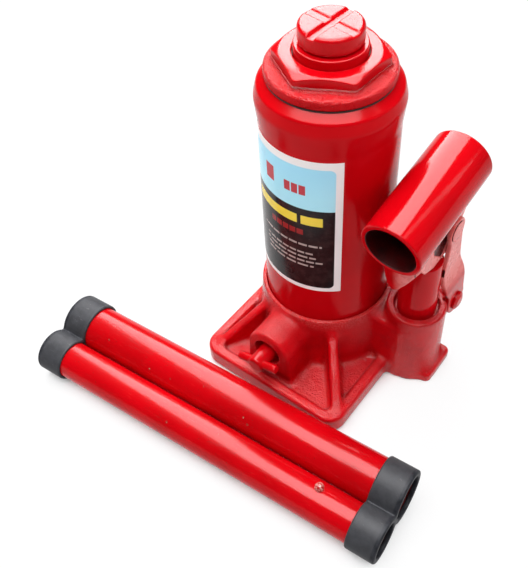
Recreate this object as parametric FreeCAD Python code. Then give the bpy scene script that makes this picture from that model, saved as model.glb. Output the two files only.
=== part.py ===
import FreeCAD, Part
import math
import os

# Hydraulic bottle jack of about 5 tonnes, with its two-piece handle lying in front.
# Millimetres, +Z up. The origin is on the main cylinder's axis, at floor level.
# X runs along the front edge of the base plate, and the front of the jack faces -Y.

V = FreeCAD.Vector
os.makedirs("parts", exist_ok=True)

# ---------------------------------------------------------------- clearances
RUN = 0.05            # radial gap of a running fit
SEAT = 0.3            # gap between curved faces of pieces that move apart
SLACK = 0.2           # side gap between flat faces that slide past each other

# ---------------------------------------------------------------- base casting
PLATE_LEFT_LEDGE = 3.2     # plate beyond the collar's foot, on each side
PLATE_RIGHT_LEDGE = 10.3
PLATE_FRONT_LEDGE = 25.7
PLATE_BACK_LEDGE = 3.7
PLATE_CORNER = 10.0
RIM_HEIGHT = 2.8
RIM_WIDTH = 6.5
POCKET_FLOOR = 9.0
COLLAR_DEPTH = 7.4    # how deep the casing sits in the collar
COLLAR_LAND = 2.2     # width of the flat ring outside the casing
COLLAR_FLARE = 2.8    # how much wider the collar is at the pocket floor
RIB_WIDTH = 4.5
RIB_DROP = 9.4        # rib top below the collar top
RESERVOIR_FLOOR = 36.0
CYLINDER_WELL = 10.0  # depth of the seat of the pressure cylinder below that floor

# ---------------------------------------------------------------- main cylinder
PISTON_R = 18.6
PISTON_HEIGHT = 12.0
PISTON_STEP = 1.2     # radial step from the piston down to the ram
PISTON_SPIGOT_STEP = 6.6
PISTON_SEAL_HEIGHT = 5.0
PISTON_RING_HEIGHT = 1.4
PISTON_REST = 6.0     # oil space left under the lowered piston
RAM_STAND = 4.0       # lowered ram above the top nut
CYLINDER_WALL = 4.4
CYLINDER_SEAL_HEIGHT = 2.0
CYLINDER_HOOK = 2.0   # metal of the top nut above the cylinder's end

# ---------------------------------------------------------------- reservoir casing
OIL_GAP = 9.95        # between the pressure cylinder and the casing
CASING_WALL = 2.0
CASING_TOP = 181.4
CASING_GASKET_HEIGHT = 2.0
SHOULDER_BULGE = 1.3
SHOULDER_DROP = 9.9   # widest point of the shoulder below the casing top
SWAGE_DROP = 23.2     # start of the widening below the casing top
LIP_THICKNESS = 2.6

# ---------------------------------------------------------------- top nut
TOP_GASKET_HEIGHT = 0.6
TOP_GASKET_INSET = 0.6
FLANGE_INSET = 3.8    # edge of the flange inside the casing's outer wall
FLANGE_HEIGHT = 5.6
NUT_WALL = 6.8        # metal from the ram to the nut's flats
NUT_HEIGHT = 6.9
NUT_CHAMFER_ANGLE = 28.0
NUT_ANGLE = 28.0      # turn of the hexagon about the axis, degrees
SKIRT_DEPTH = 14.0
SKIRT_WALL = 4.55
SKIRT_PLAY = 0.7      # gap from the skirt to the casing's mouth
WIPER_DEPTH = 2.6     # radial depth of the wiper seal
WIPER_HEIGHT = 3.0
WIPER_COVER = 3.0     # metal above the wiper seal

# ---------------------------------------------------------------- extension screw
RAM_THREAD_WALL = 5.35
SCREW_LENGTH = 128.5  # below the ram's top
SCREW_SPIGOT_STEP = 3.0
STOP_RING_HEIGHT = 6.0
STOP_ROOM = 8.0       # room under the screw in the ram
RAM_THREAD_LENGTH = 23.0
RAM_BORE_STEP = 2.2   # the bore below the thread is wider
SADDLE_R = 15.3
SADDLE_EASE = 0.8
SADDLE_HEIGHT = 9.3
SADDLE_EDGE = 1.6
SADDLE_GROOVE_WIDTH = 4.2
SADDLE_GROOVE_DEPTH = 2.0
SADDLE_GROOVE_ANGLE = -5.0

# ---------------------------------------------------------------- pump
PUMP_OUT = 21.1       # pump axis outside the casing wall
PUMP_Y = 4.7
BOSS_WALL = 4.0       # round the recess for the washer
BOSS_TOP = 48.5
WEB_DROP = 6.5        # web between boss and collar, below the boss top
RECESS_DEPTH = 3.0
PUMP_BORE_BOTTOM = 22.0
PUMP_SUMP = 4.0       # room under the pump barrel
BARREL_WALL = 3.75
BARREL_NECK_STEP = 1.0
BARREL_TOP = 88.0
WASHER_LEDGE = 1.2    # washer outside the barrel
WASHER_PLAY = 0.4
WASHER_HEIGHT = 1.6
PLUNGER_R = 7.0
PLUNGER_REST = 8.0    # plunger above the barrel's lower end when it is down
PLUNGER_HEAD_DOWN = 9.0
SOCKET_SWING = 56.5        # degrees that the socket turns in a full stroke
PLUNGER_FLAT_STEP = 0.7
CUP_HEIGHT = 4.0
CUP_WALL = 2.5
FOOT_PAD_RIGHT = 18.1  # edges of the foot pad from the pump axis
FOOT_PAD_FRONT = 10.3
FOOT_PAD_BACK = 15.9
FOOT_PAD_HEIGHT = 6.0

# ---------------------------------------------------------------- pump linkage
PLUNGER_PIN_RISE = 13.0   # plunger pin above the barrel
PLUNGER_PIN_R = 4.0
UPPER_PIN_BACK = 11.3     # pins of the link, behind the pump axis
UPPER_PIN_RISE = 3.0      # above the plunger pin
LOWER_PIN_BACK = 19.8
LOWER_PIN_DROP = 5.0      # below the boss top
LINK_PIN_R = 3.5
PIN_HEAD_R = 5.5
PIN_HEAD_THICKNESS = 2.1
CLIP_R = 5.4
CLIP_THICKNESS = 1.4
PIN_TAIL = 1.5        # length of pin beyond its clip
LINK_THICKNESS = 3.4
LINK_LOWER_R = 8.5
LINK_UPPER_R = 7.0
LINK_WAIST = 5.6      # half width below the upper eye
LINK_PADDLE = 8.2     # half width above the lower eye
LINK_PADDLE_SHARE = 0.42      # share of the link's length that the paddle takes
LINK_WAIST_SHARE = 0.66       # where the waist begins
LINK_SLOP_Y = 0.66    # centre of the loose upper hole, from the pin at rest
LINK_SLOP_Z = 0.31
LINK_SLOP = 0.95      # radial looseness of the upper hole
LINK_SWING_ROOM = 0.9       # room in front of the links for their swing
LUG_R = 7.6
LUG_FOOT = 18.5       # reach of the lug's foot behind the pump axis
LUG_FOOT_DROP = 15.5  # the foot ends this far below the pin
LUG_EYE_DROP = 3.0
CHEEK_THICKNESS = 3.5
CHEEK_EYE_R = 8.4

# ---------------------------------------------------------------- handle socket
SOCKET_WALL = 2.8
SOCKET_PLAY = 0.7     # radial room round the handle in the socket
SOCKET_TILT = 9.55    # the mouth points this many degrees downwards
SOCKET_RISE = 28.9    # socket axis above the plunger pin
SOCKET_FRONT = 32.6   # mouth in front of the plunger pin
SOCKET_BACK = 35.1    # back end behind the plunger pin
CHEEK_FRONT = 25.4    # edges of the cheeks, from the plunger pin
CHEEK_MID = 14.7
CHEEK_BACK = 32.3
CHEEK_SKIRT = 0.6     # cheeks below the socket's underside at the back
TONGUE_FRONT = 26.5
TONGUE_THICKNESS = 3.4
TONGUE_DROP = 15.0
TONGUE_WIDTH = 15.0
TONGUE_TIP_R = 4.2

# ---------------------------------------------------------------- release valve
VALVE_X = -2.0
VALVE_Z = 26.0
VALVE_BOSS_R = 15.0
VALVE_BOSS_FOOT = 17.0
VALVE_FACE_SETBACK = 9.5  # boss face behind the plate's front edge
VALVE_RECESS_R = 7.6
VALVE_RECESS_DEPTH = 4.0
VALVE_STEM_R = 5.8
VALVE_STEM_STAND = 11.1   # stem in front of the boss face
VALVE_STEM_DEPTH = 17.5   # stem behind the boss face
VALVE_NOSE_R = 2.4
VALVE_NOSE_LENGTH = 5.0
VALVE_RING_SETBACK = 6.0  # seal ring in front of the stem's inner end
VALVE_RING_WIDTH = 2.6
VALVE_RING_DEPTH = 1.6
CROSS_PIN_R = 2.4
CROSS_PIN_HALF = 13.3
CROSS_PIN_SETBACK = 3.4   # behind the stem's front end
CROSS_PIN_ANGLE = 14.0
RELEASE_BALL_R = 2.8
PASSAGE_R = 1.5
GALLERY_R = 2.0           # cross drillings, wider than the passages they join
RELEASE_PASSAGE_DROP = 8.0

# ---------------------------------------------------------------- check and relief valves
SUCTION_BALL_R = 3.0
DELIVERY_X = 12.0
DELIVERY_BALL_R = 3.5
DELIVERY_POCKET = 7.0
BALL_ROOM = 0.4       # room round a ball in its pocket
RELIEF_ANGLE = 137.5
RELIEF_BALL_R = 2.5
RELIEF_BORE_R = 4.0
RELIEF_SEAT_DROP = 11.0
RELIEF_SPRING_R = 2.6
RELIEF_WIRE_R = 0.5
RELIEF_SPRING_LENGTH = 9.0
RELIEF_TURNS = 6
PLUG_R = 4.0
PLUG_LENGTH = 7.0
PLUG_INSET = 1.2
GALLERY_DROP = 9.5    # gallery under the pump bore

# ---------------------------------------------------------------- filler plug and label
FILLER_ANGLE = 112.0
FILLER_DROP = 39.4    # below the casing top
FILLER_R = 4.0
FILLER_HEAD_R = 6.8
FILLER_HEAD_THICKNESS = 3.2
FILLER_DEPTH = 3.5
LABEL_MARGIN = 1.5    # label below the start of the casing's widening
LABEL_HEIGHT = 89.2
LABEL_RIGHT_ANGLE = 45.5    # edges of the label, degrees from the front
LABEL_LEFT_ANGLE = -98.0
LABEL_THICKNESS = 0.15

# ---------------------------------------------------------------- handle lying in front
PACK_YAW = 4.44
PACK_GAP = 5.8        # clear floor between the base and the caps at the origin
BIG_TUBE_R = 12.7
BIG_TUBE_WALL = 1.7
SMALL_TUBE_WALL = 1.6
HANDLE_PLAY = 0.7     # radial room of the small tube in the large one
TUBE_LENGTH = 213.8
TUBE_LEFT = -119.0
TUBE_GAP = 1.4        # between the two tubes
CAP_WALL = 1.9
CAP_LENGTH = 16.5
CAP_LIP = 2.6         # thickness of the end wall
CAP_MOUTH_EASE = 0.4  # how much wider the cap's opening is than the tube's bore
BUTTON_FROM_END = 35.8
BUTTON_R = 3.4
BUTTON_HEAD = 2.6
BUTTON_TRAVEL = 2.2
BUTTON_FLANGE_STEP = 1.2
BUTTON_FLANGE = 1.0
BUTTON_WALL = 0.8
BUTTON_ANGLE = 12.0   # lean of the button from straight up, towards the big tube
BUTTON_SPRING_WIRE_R = 0.35
BUTTON_SPRING_TURNS = 8

# ---------------------------------------------------------------- sizes that follow
RAM_R = PISTON_R - PISTON_STEP
PISTON_SPIGOT_R = PISTON_R - PISTON_SPIGOT_STEP
CYLINDER_BORE_R = PISTON_R + RUN
CYLINDER_R = CYLINDER_BORE_R + CYLINDER_WALL
CYLINDER_SEAT = RESERVOIR_FLOOR - CYLINDER_WELL
CYLINDER_BOTTOM = CYLINDER_SEAT + CYLINDER_SEAL_HEIGHT
CASING_R = CYLINDER_R + OIL_GAP + CASING_WALL
CASING_BOTTOM = RESERVOIR_FLOOR + CASING_GASKET_HEIGHT
SHOULDER_Z = CASING_TOP - SHOULDER_DROP
SWAGE_Z = CASING_TOP - SWAGE_DROP
FLANGE_R = CASING_R - FLANGE_INSET
FLANGE_BOTTOM = CASING_TOP + TOP_GASKET_HEIGHT
FLANGE_TOP = FLANGE_BOTTOM + FLANGE_HEIGHT
CYLINDER_TOP = FLANGE_BOTTOM - CYLINDER_HOOK
SKIRT_R = CYLINDER_R + SKIRT_WALL
LIP_INNER_R = SKIRT_R + SKIRT_PLAY
LIP_OUTER_R = FLANGE_R - TOP_GASKET_INSET
NUT_TOP = FLANGE_TOP + NUT_HEIGHT
NUT_FLAT_R = RAM_R + NUT_WALL
NUT_CORNER_R = NUT_FLAT_R / math.cos(math.radians(30))
WIPER_TOP = NUT_TOP - WIPER_COVER
RAM_BOTTOM = CYLINDER_BOTTOM + PISTON_REST
RAM_TOP = NUT_TOP + RAM_STAND
PISTON_BOTTOM = RAM_BOTTOM + PISTON_SEAL_HEIGHT + PISTON_RING_HEIGHT
SCREW_R = RAM_R - RAM_THREAD_WALL - RUN
SCREW_SPIGOT_R = SCREW_R - SCREW_SPIGOT_STEP
SCREW_BOTTOM = RAM_TOP - SCREW_LENGTH
RAM_BORE_R = SCREW_R + RAM_BORE_STEP
RAM_BORE_BOTTOM = SCREW_BOTTOM - STOP_ROOM
SADDLE_BOTTOM = RAM_TOP + SLACK
SADDLE_TOP = SADDLE_BOTTOM + SADDLE_HEIGHT

COLLAR_R = CASING_R + SEAT + COLLAR_LAND
COLLAR_FOOT_R = COLLAR_R + COLLAR_FLARE
COLLAR_TOP = RESERVOIR_FLOOR + COLLAR_DEPTH
RIM_TOP = POCKET_FLOOR + RIM_HEIGHT
PLATE_LEFT = COLLAR_FOOT_R + PLATE_LEFT_LEDGE
PLATE_RIGHT = COLLAR_FOOT_R + PLATE_RIGHT_LEDGE
PLATE_FRONT = COLLAR_FOOT_R + PLATE_FRONT_LEDGE
PLATE_BACK = COLLAR_FOOT_R + PLATE_BACK_LEDGE
VALVE_FACE = PLATE_FRONT - VALVE_FACE_SETBACK
VALVE_STEM_FRONT = VALVE_FACE + VALVE_STEM_STAND
VALVE_STEM_BACK = VALVE_FACE - VALVE_STEM_DEPTH
VALVE_RING_BACK = VALVE_STEM_BACK + VALVE_RING_SETBACK
CROSS_PIN_Y = VALVE_STEM_FRONT - CROSS_PIN_SETBACK
RELEASE_PASSAGE_Z = VALVE_Z - RELEASE_PASSAGE_DROP

PUMP_X = CASING_R + PUMP_OUT
BARREL_R = PLUNGER_R + RUN + BARREL_WALL
BARREL_NECK_R = BARREL_R - BARREL_NECK_STEP
BARREL_BOTTOM = PUMP_BORE_BOTTOM + PUMP_SUMP
WASHER_R = BARREL_R + WASHER_LEDGE
RECESS_R = WASHER_R + WASHER_PLAY
RECESS_FLOOR = BOSS_TOP - RECESS_DEPTH
BOSS_R = RECESS_R + BOSS_WALL
BARREL_SHOULDER = RECESS_FLOOR + WASHER_HEIGHT
PLUNGER_BOTTOM = BARREL_BOTTOM + PLUNGER_REST
PLUNGER_FLAT = PLUNGER_R - PLUNGER_FLAT_STEP
CUP_SPIGOT_R = PLUNGER_R - CUP_WALL
PLUNGER_PIN_Z = BARREL_TOP + PLUNGER_PIN_RISE
UPPER_PIN_Y = PUMP_Y + UPPER_PIN_BACK
UPPER_PIN_Z = PLUNGER_PIN_Z + UPPER_PIN_RISE
PIN_REACH = math.hypot(UPPER_PIN_BACK, UPPER_PIN_RISE)
PIN_WAY_R = LINK_PIN_R + 2 * SEAT
PLUNGER_HEAD_R = PIN_REACH - PIN_WAY_R
PIN_LOW_ANGLE = math.atan2(UPPER_PIN_RISE, UPPER_PIN_BACK) - math.radians(SOCKET_SWING)
PIN_LOW_Y = PUMP_Y + PIN_REACH * math.cos(PIN_LOW_ANGLE)
PIN_LOW_Z = PLUNGER_PIN_Z + PIN_REACH * math.sin(PIN_LOW_ANGLE)
LOWER_PIN_Y = PUMP_Y + LOWER_PIN_BACK
LOWER_PIN_Z = BOSS_TOP - LOWER_PIN_DROP
CHEEK_IN = PLUNGER_R + SLACK
CHEEK_OUT = CHEEK_IN + CHEEK_THICKNESS
LINK_IN = CHEEK_OUT + SLACK
LINK_OUT = LINK_IN + LINK_THICKNESS
LUG_HALF = LINK_IN - SLACK
GALLERY_Z = PUMP_BORE_BOTTOM - GALLERY_DROP
RELIEF_SEAT_Z = RESERVOIR_FLOOR - RELIEF_SEAT_DROP
RELIEF_FROM_AXIS = (CYLINDER_R + CASING_R - CASING_WALL) / 2
RELIEF_X = RELIEF_FROM_AXIS * math.cos(math.radians(RELIEF_ANGLE))
RELIEF_Y = RELIEF_FROM_AXIS * math.sin(math.radians(RELIEF_ANGLE))

FILLER_Z = CASING_TOP - FILLER_DROP
LABEL_TOP = SWAGE_Z - LABEL_MARGIN
LABEL_BOTTOM = LABEL_TOP - LABEL_HEIGHT

SOCKET_BORE_R = BIG_TUBE_R + SOCKET_PLAY
SOCKET_R = SOCKET_BORE_R + SOCKET_WALL
SMALL_TUBE_R = BIG_TUBE_R - BIG_TUBE_WALL - HANDLE_PLAY
BIG_TUBE_Z = BIG_TUBE_R + CAP_WALL
SMALL_TUBE_Z = SMALL_TUBE_R + CAP_WALL
BIG_TUBE_Y = -(PLATE_FRONT + PACK_GAP + BIG_TUBE_R + CAP_WALL)
SMALL_TUBE_Y = BIG_TUBE_Y - BIG_TUBE_R - TUBE_GAP - SMALL_TUBE_R
TUBE_RIGHT = TUBE_LEFT + TUBE_LENGTH
PACK_LEFT = TUBE_LEFT - CAP_LIP
PACK_RIGHT = TUBE_RIGHT + CAP_LIP


# ================================================================ helpers
def export(name, shape):
    if shape.ShapeType == "Compound" and len(shape.Solids) == 1:
        shape = shape.Solids[0]
    shape.exportStep("parts/" + name + ".step")
    print(name, shape.isValid(), len(shape.Solids), round(shape.Volume, 1))


def rod(r, z0, z1, x=0.0, y=0.0):
    return Part.makeCylinder(r, z1 - z0, V(x, y, z0), V(0, 0, 1))


def tube(r_out, r_in, z0, z1, x=0.0, y=0.0):
    return rod(r_out, z0, z1, x, y).cut(rod(r_in, z0 - 1, z1 + 1, x, y))


def rod_x(r, x0, x1, y, z):
    return Part.makeCylinder(r, x1 - x0, V(x0, y, z), V(1, 0, 0))


def rod_y(r, y0, y1, x, z):
    return Part.makeCylinder(r, y1 - y0, V(x, y0, z), V(0, 1, 0))


def box(x0, x1, y0, y1, z0, z1):
    return Part.makeBox(x1 - x0, y1 - y0, z1 - z0, V(x0, y0, z0))


def fuse(first, *others):
    return first.multiFuse(list(others)).removeSplitter()


def face(points):
    ring = [V(*p) for p in points]
    return Part.Face(Part.makePolygon(ring + [ring[0]]))


def plate_x(points_yz, x0, x1):
    """A flat plate between x0 and x1 with a polygon outline in the YZ plane."""
    outline = face([(x0, y, z) for y, z in points_yz])
    return outline.extrude(V(x1 - x0, 0, 0))


def spun(points_rz):
    """A solid of revolution about Z from a closed outline of (radius, height)."""
    return face([(r, 0, z) for r, z in points_rz]).revolve(V(0, 0, 0), V(0, 0, 1), 360)


def rounded_slab(left, right, front, back, corner, z0, z1):
    slab = box(-left, right, -front, back, z0, z1)
    upright = [e for e in slab.Edges if abs(e.Vertexes[0].X - e.Vertexes[1].X) < 1e-6
               and abs(e.Vertexes[0].Y - e.Vertexes[1].Y) < 1e-6]
    return slab.makeFillet(corner, upright)


def place_socket(shape):
    """Moves a shape drawn about the plunger pin, with a level socket, to its real place."""
    moved = shape.copy()
    moved.rotate(V(0, 0, 0), V(1, 0, 0), SOCKET_TILT)
    moved.translate(V(PUMP_X, PUMP_Y, PLUNGER_PIN_Z))
    return moved


def place_pack(shape):
    """Turns a shape drawn with its tubes along X to the yaw of the handle pack."""
    moved = shape.copy()
    moved.rotate(V(0, 0, 0), V(0, 0, 1), PACK_YAW)
    return moved


# ================================================================ base casting
def base_casting():
    plate = rounded_slab(PLATE_LEFT, PLATE_RIGHT, PLATE_FRONT, PLATE_BACK, PLATE_CORNER,
                         0, RIM_TOP)
    pocket = rounded_slab(PLATE_LEFT - RIM_WIDTH, PLATE_RIGHT - RIM_WIDTH, PLATE_FRONT - RIM_WIDTH,
                          PLATE_BACK - RIM_WIDTH, PLATE_CORNER - RIM_WIDTH / 2,
                          POCKET_FLOOR, RIM_TOP + 1)
    body = plate.cut(pocket)
    collar = Part.makeCone(COLLAR_FOOT_R, COLLAR_R, COLLAR_TOP - POCKET_FLOOR,
                           V(0, 0, POCKET_FLOOR))
    body = fuse(body, collar, rod(COLLAR_FOOT_R, 0, POCKET_FLOOR))

    # ribs from the collar to the four corners
    corners = [(sx, sy) for sx in (-1, 1) for sy in (-1, 1)]
    for sx, sy in corners:
        reach_x = (PLATE_RIGHT if sx > 0 else PLATE_LEFT) - RIM_WIDTH
        reach_y = (PLATE_FRONT if sy < 0 else PLATE_BACK) - RIM_WIDTH
        reach = math.hypot(reach_x, reach_y) - PLATE_CORNER / 4
        inner = CASING_R - RIB_WIDTH
        profile = [(inner, 0, POCKET_FLOOR / 2), (reach, 0, POCKET_FLOOR / 2), (reach, 0, RIM_TOP),
                   (COLLAR_R, 0, COLLAR_TOP - RIB_DROP), (inner, 0, COLLAR_TOP - RIB_DROP)]
        rib = face(profile).extrude(V(0, RIB_WIDTH, 0))
        rib.translate(V(0, -RIB_WIDTH / 2, 0))
        rib.rotate(V(0, 0, 0), V(0, 0, 1), math.degrees(math.atan2(sy * reach_y, sx * reach_x)))
        body = body.fuse(rib)

    # boss of the release valve, on the front
    boss = rod_y(VALVE_BOSS_R, -VALVE_FACE, -CYLINDER_R, VALVE_X, VALVE_Z)
    flare = face([(VALVE_X - VALVE_BOSS_FOOT, -VALVE_FACE, POCKET_FLOOR / 2),
                  (VALVE_X + VALVE_BOSS_FOOT, -VALVE_FACE, POCKET_FLOOR / 2),
                  (VALVE_X + VALVE_BOSS_R, -VALVE_FACE, VALVE_Z),
                  (VALVE_X - VALVE_BOSS_R, -VALVE_FACE, VALVE_Z)])
    flare = flare.extrude(V(0, VALVE_FACE - CYLINDER_R, 0))

    # boss of the pump, its web, foot pad and the lug for the link
    pump_boss = rod(BOSS_R, 0, BOSS_TOP, PUMP_X, PUMP_Y)
    web = box(CYLINDER_R, PUMP_X, PUMP_Y - BOSS_R, PUMP_Y + BOSS_R, 0, BOSS_TOP - WEB_DROP)
    pad = box(PUMP_X, PUMP_X + FOOT_PAD_RIGHT, PUMP_Y - FOOT_PAD_FRONT, PUMP_Y + FOOT_PAD_BACK,
              0, FOOT_PAD_HEIGHT)
    lug_back = LOWER_PIN_Y + LUG_R
    lug = plate_x([(PUMP_Y, 0), (PUMP_Y + LUG_FOOT, 0), (PUMP_Y + LUG_FOOT, LOWER_PIN_Z - LUG_FOOT_DROP),
                   (lug_back, LOWER_PIN_Z - LUG_EYE_DROP), (lug_back, LOWER_PIN_Z), (PUMP_Y, LOWER_PIN_Z)],
                  PUMP_X - LUG_HALF, PUMP_X + LUG_HALF)
    lug_eye = rod_x(LUG_R, PUMP_X - LUG_HALF, PUMP_X + LUG_HALF, LOWER_PIN_Y, LOWER_PIN_Z)
    body = fuse(body, boss, flare, pump_boss, web, pad, lug, lug_eye)

    # the boss is cut back where the links swing
    for side in (-1, 1):
        x0 = PUMP_X + side * LUG_HALF
        x1 = PUMP_X + side * (LINK_OUT + CLIP_THICKNESS + PIN_TAIL + 3 * SEAT)
        relief_front = LOWER_PIN_Y - LINK_LOWER_R - LINK_SWING_ROOM
        relief = box(min(x0, x1), max(x0, x1), relief_front, lug_back + BOSS_R,
                     LOWER_PIN_Z - LINK_LOWER_R - 2 * SEAT, BOSS_TOP + 1)
        body = body.cut(relief)

    # reservoir well, cylinder seat and their clearances
    body = body.cut(rod(CASING_R + SEAT, RESERVOIR_FLOOR, COLLAR_TOP + BOSS_TOP))
    body = body.cut(rod(CYLINDER_R, CYLINDER_SEAT, RESERVOIR_FLOOR + 1))

    # pump bore with its recess
    body = body.cut(rod(BARREL_NECK_R, PUMP_BORE_BOTTOM, BOSS_TOP, PUMP_X, PUMP_Y))
    body = body.cut(rod(RECESS_R, RECESS_FLOOR, BOSS_TOP + 1, PUMP_X, PUMP_Y))
    body = body.cut(rod_x(LINK_PIN_R, PUMP_X - 2 * LUG_HALF, PUMP_X + 2 * LUG_HALF,
                          LOWER_PIN_Y, LOWER_PIN_Z))

    # release valve bore, with its recess and the seat at its inner end
    body = body.cut(rod_y(VALVE_STEM_R + RUN, -VALVE_FACE - 1, -VALVE_STEM_BACK, VALVE_X, VALVE_Z))
    body = body.cut(rod_y(VALVE_RECESS_R, -VALVE_FACE - 1, -VALVE_FACE + VALVE_RECESS_DEPTH,
                          VALVE_X, VALVE_Z))
    pocket_end = -VALVE_STEM_BACK + VALVE_NOSE_LENGTH + 2 * RELEASE_BALL_R
    body = body.cut(rod_y(RELEASE_BALL_R + BALL_ROOM, -VALVE_STEM_BACK - 1, pocket_end,
                          VALVE_X, VALVE_Z))
    body = body.cut(rod(PASSAGE_R, RELEASE_PASSAGE_Z, VALVE_Z, VALVE_X, pocket_end - 2 * PASSAGE_R))
    body = body.cut(rod_y(GALLERY_R, pocket_end - 4 * PASSAGE_R, GALLERY_R, VALVE_X,
                          RELEASE_PASSAGE_Z))
    body = body.cut(rod(PASSAGE_R, RELEASE_PASSAGE_Z, CYLINDER_SEAT + 1, VALVE_X, -PASSAGE_R))
    body = body.cut(rod(PASSAGE_R, VALVE_Z, RESERVOIR_FLOOR + 1, VALVE_X,
                        -VALVE_STEM_BACK + VALVE_NOSE_LENGTH + PASSAGE_R))

    # suction ball pocket under the pump, delivery gallery and delivery ball pocket
    body = body.cut(rod(SUCTION_BALL_R + BALL_ROOM, PUMP_BORE_BOTTOM - 2 * SUCTION_BALL_R,
                        PUMP_BORE_BOTTOM + 1, PUMP_X, PUMP_Y))
    body = body.cut(rod_x(GALLERY_R, DELIVERY_X - 2 * GALLERY_R, PUMP_X + 2 * GALLERY_R,
                          PUMP_Y, GALLERY_Z))
    body = body.cut(rod(DELIVERY_BALL_R + BALL_ROOM, CYLINDER_SEAT - DELIVERY_POCKET,
                        CYLINDER_SEAT + 1, DELIVERY_X, PUMP_Y))
    body = body.cut(rod(PASSAGE_R, GALLERY_Z, CYLINDER_SEAT, DELIVERY_X, PUMP_Y))

    # plug hole below the pump gallery and the relief valve's bore, both from underneath
    body = body.cut(rod(PLUG_R, -1, PLUG_INSET + PLUG_LENGTH, PUMP_X, PUMP_Y))
    body = body.cut(rod(PASSAGE_R, PLUG_INSET, PUMP_BORE_BOTTOM, PUMP_X, PUMP_Y))
    body = body.cut(rod(RELIEF_BORE_R, -1, RELIEF_SEAT_Z, RELIEF_X, RELIEF_Y))
    body = body.cut(rod(PASSAGE_R, RELIEF_SEAT_Z - 1, RESERVOIR_FLOOR + 1, RELIEF_X, RELIEF_Y))
    return body


export("base_casting", base_casting())

# ================================================================ pressure cylinder and ram
export("cylinder_seal", tube(CYLINDER_R, CYLINDER_BORE_R, CYLINDER_SEAT, CYLINDER_BOTTOM))
export("pressure_cylinder", tube(CYLINDER_R, CYLINDER_BORE_R, CYLINDER_BOTTOM, CYLINDER_TOP))

ram = fuse(rod(RAM_R, PISTON_BOTTOM, RAM_TOP),
           rod(PISTON_R, PISTON_BOTTOM, PISTON_BOTTOM + PISTON_HEIGHT),
           rod(PISTON_SPIGOT_R, RAM_BOTTOM, PISTON_BOTTOM))
ram = ram.cut(rod(RAM_BORE_R, RAM_BORE_BOTTOM, RAM_TOP - RAM_THREAD_LENGTH))
ram = ram.cut(rod(SCREW_R + RUN, RAM_TOP - RAM_THREAD_LENGTH - 1, RAM_TOP + 1))
export("ram", ram)
export("piston_cup_seal", tube(PISTON_R, PISTON_SPIGOT_R, PISTON_BOTTOM - PISTON_SEAL_HEIGHT,
                               PISTON_BOTTOM))
export("piston_retaining_ring", tube(PISTON_R - 2 * PISTON_RING_HEIGHT, PISTON_SPIGOT_R, RAM_BOTTOM,
                                     RAM_BOTTOM + PISTON_RING_HEIGHT))


# ================================================================ extension screw
def extension_screw():
    shank = fuse(rod(SCREW_R, SCREW_BOTTOM + STOP_RING_HEIGHT + SLACK, SADDLE_BOTTOM),
                 rod(SCREW_SPIGOT_R, SCREW_BOTTOM, SADDLE_BOTTOM))
    head = spun([(0, SADDLE_BOTTOM), (SADDLE_R, SADDLE_BOTTOM), (SADDLE_R, SADDLE_TOP - SADDLE_EDGE),
                 (SADDLE_R - SADDLE_EASE, SADDLE_TOP), (0, SADDLE_TOP)])
    for turn in (0, 90):
        groove = face([(-2 * SADDLE_R, -SADDLE_GROOVE_WIDTH / 2, SADDLE_TOP + 0.01),
                       (-2 * SADDLE_R, SADDLE_GROOVE_WIDTH / 2, SADDLE_TOP + 0.01),
                       (-2 * SADDLE_R, SADDLE_GROOVE_WIDTH / 6, SADDLE_TOP - SADDLE_GROOVE_DEPTH),
                       (-2 * SADDLE_R, -SADDLE_GROOVE_WIDTH / 6, SADDLE_TOP - SADDLE_GROOVE_DEPTH)])
        groove = groove.extrude(V(4 * SADDLE_R, 0, 0))
        groove.rotate(V(0, 0, 0), V(0, 0, 1), SADDLE_GROOVE_ANGLE + turn)
        head = head.cut(groove)
    return fuse(head, shank)


export("extension_screw", extension_screw())
export("screw_stop_ring", tube(RAM_BORE_R - SEAT, SCREW_SPIGOT_R + RUN, SCREW_BOTTOM,
                               SCREW_BOTTOM + STOP_RING_HEIGHT))


# ================================================================ reservoir casing
def arc(a, b, c):
    return Part.Arc(V(a[0], 0, a[1]), V(b[0], 0, b[1]), V(c[0], 0, c[1])).toShape()


def line(a, b):
    return Part.LineSegment(V(a[0], 0, a[1]), V(b[0], 0, b[1])).toShape()


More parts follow.
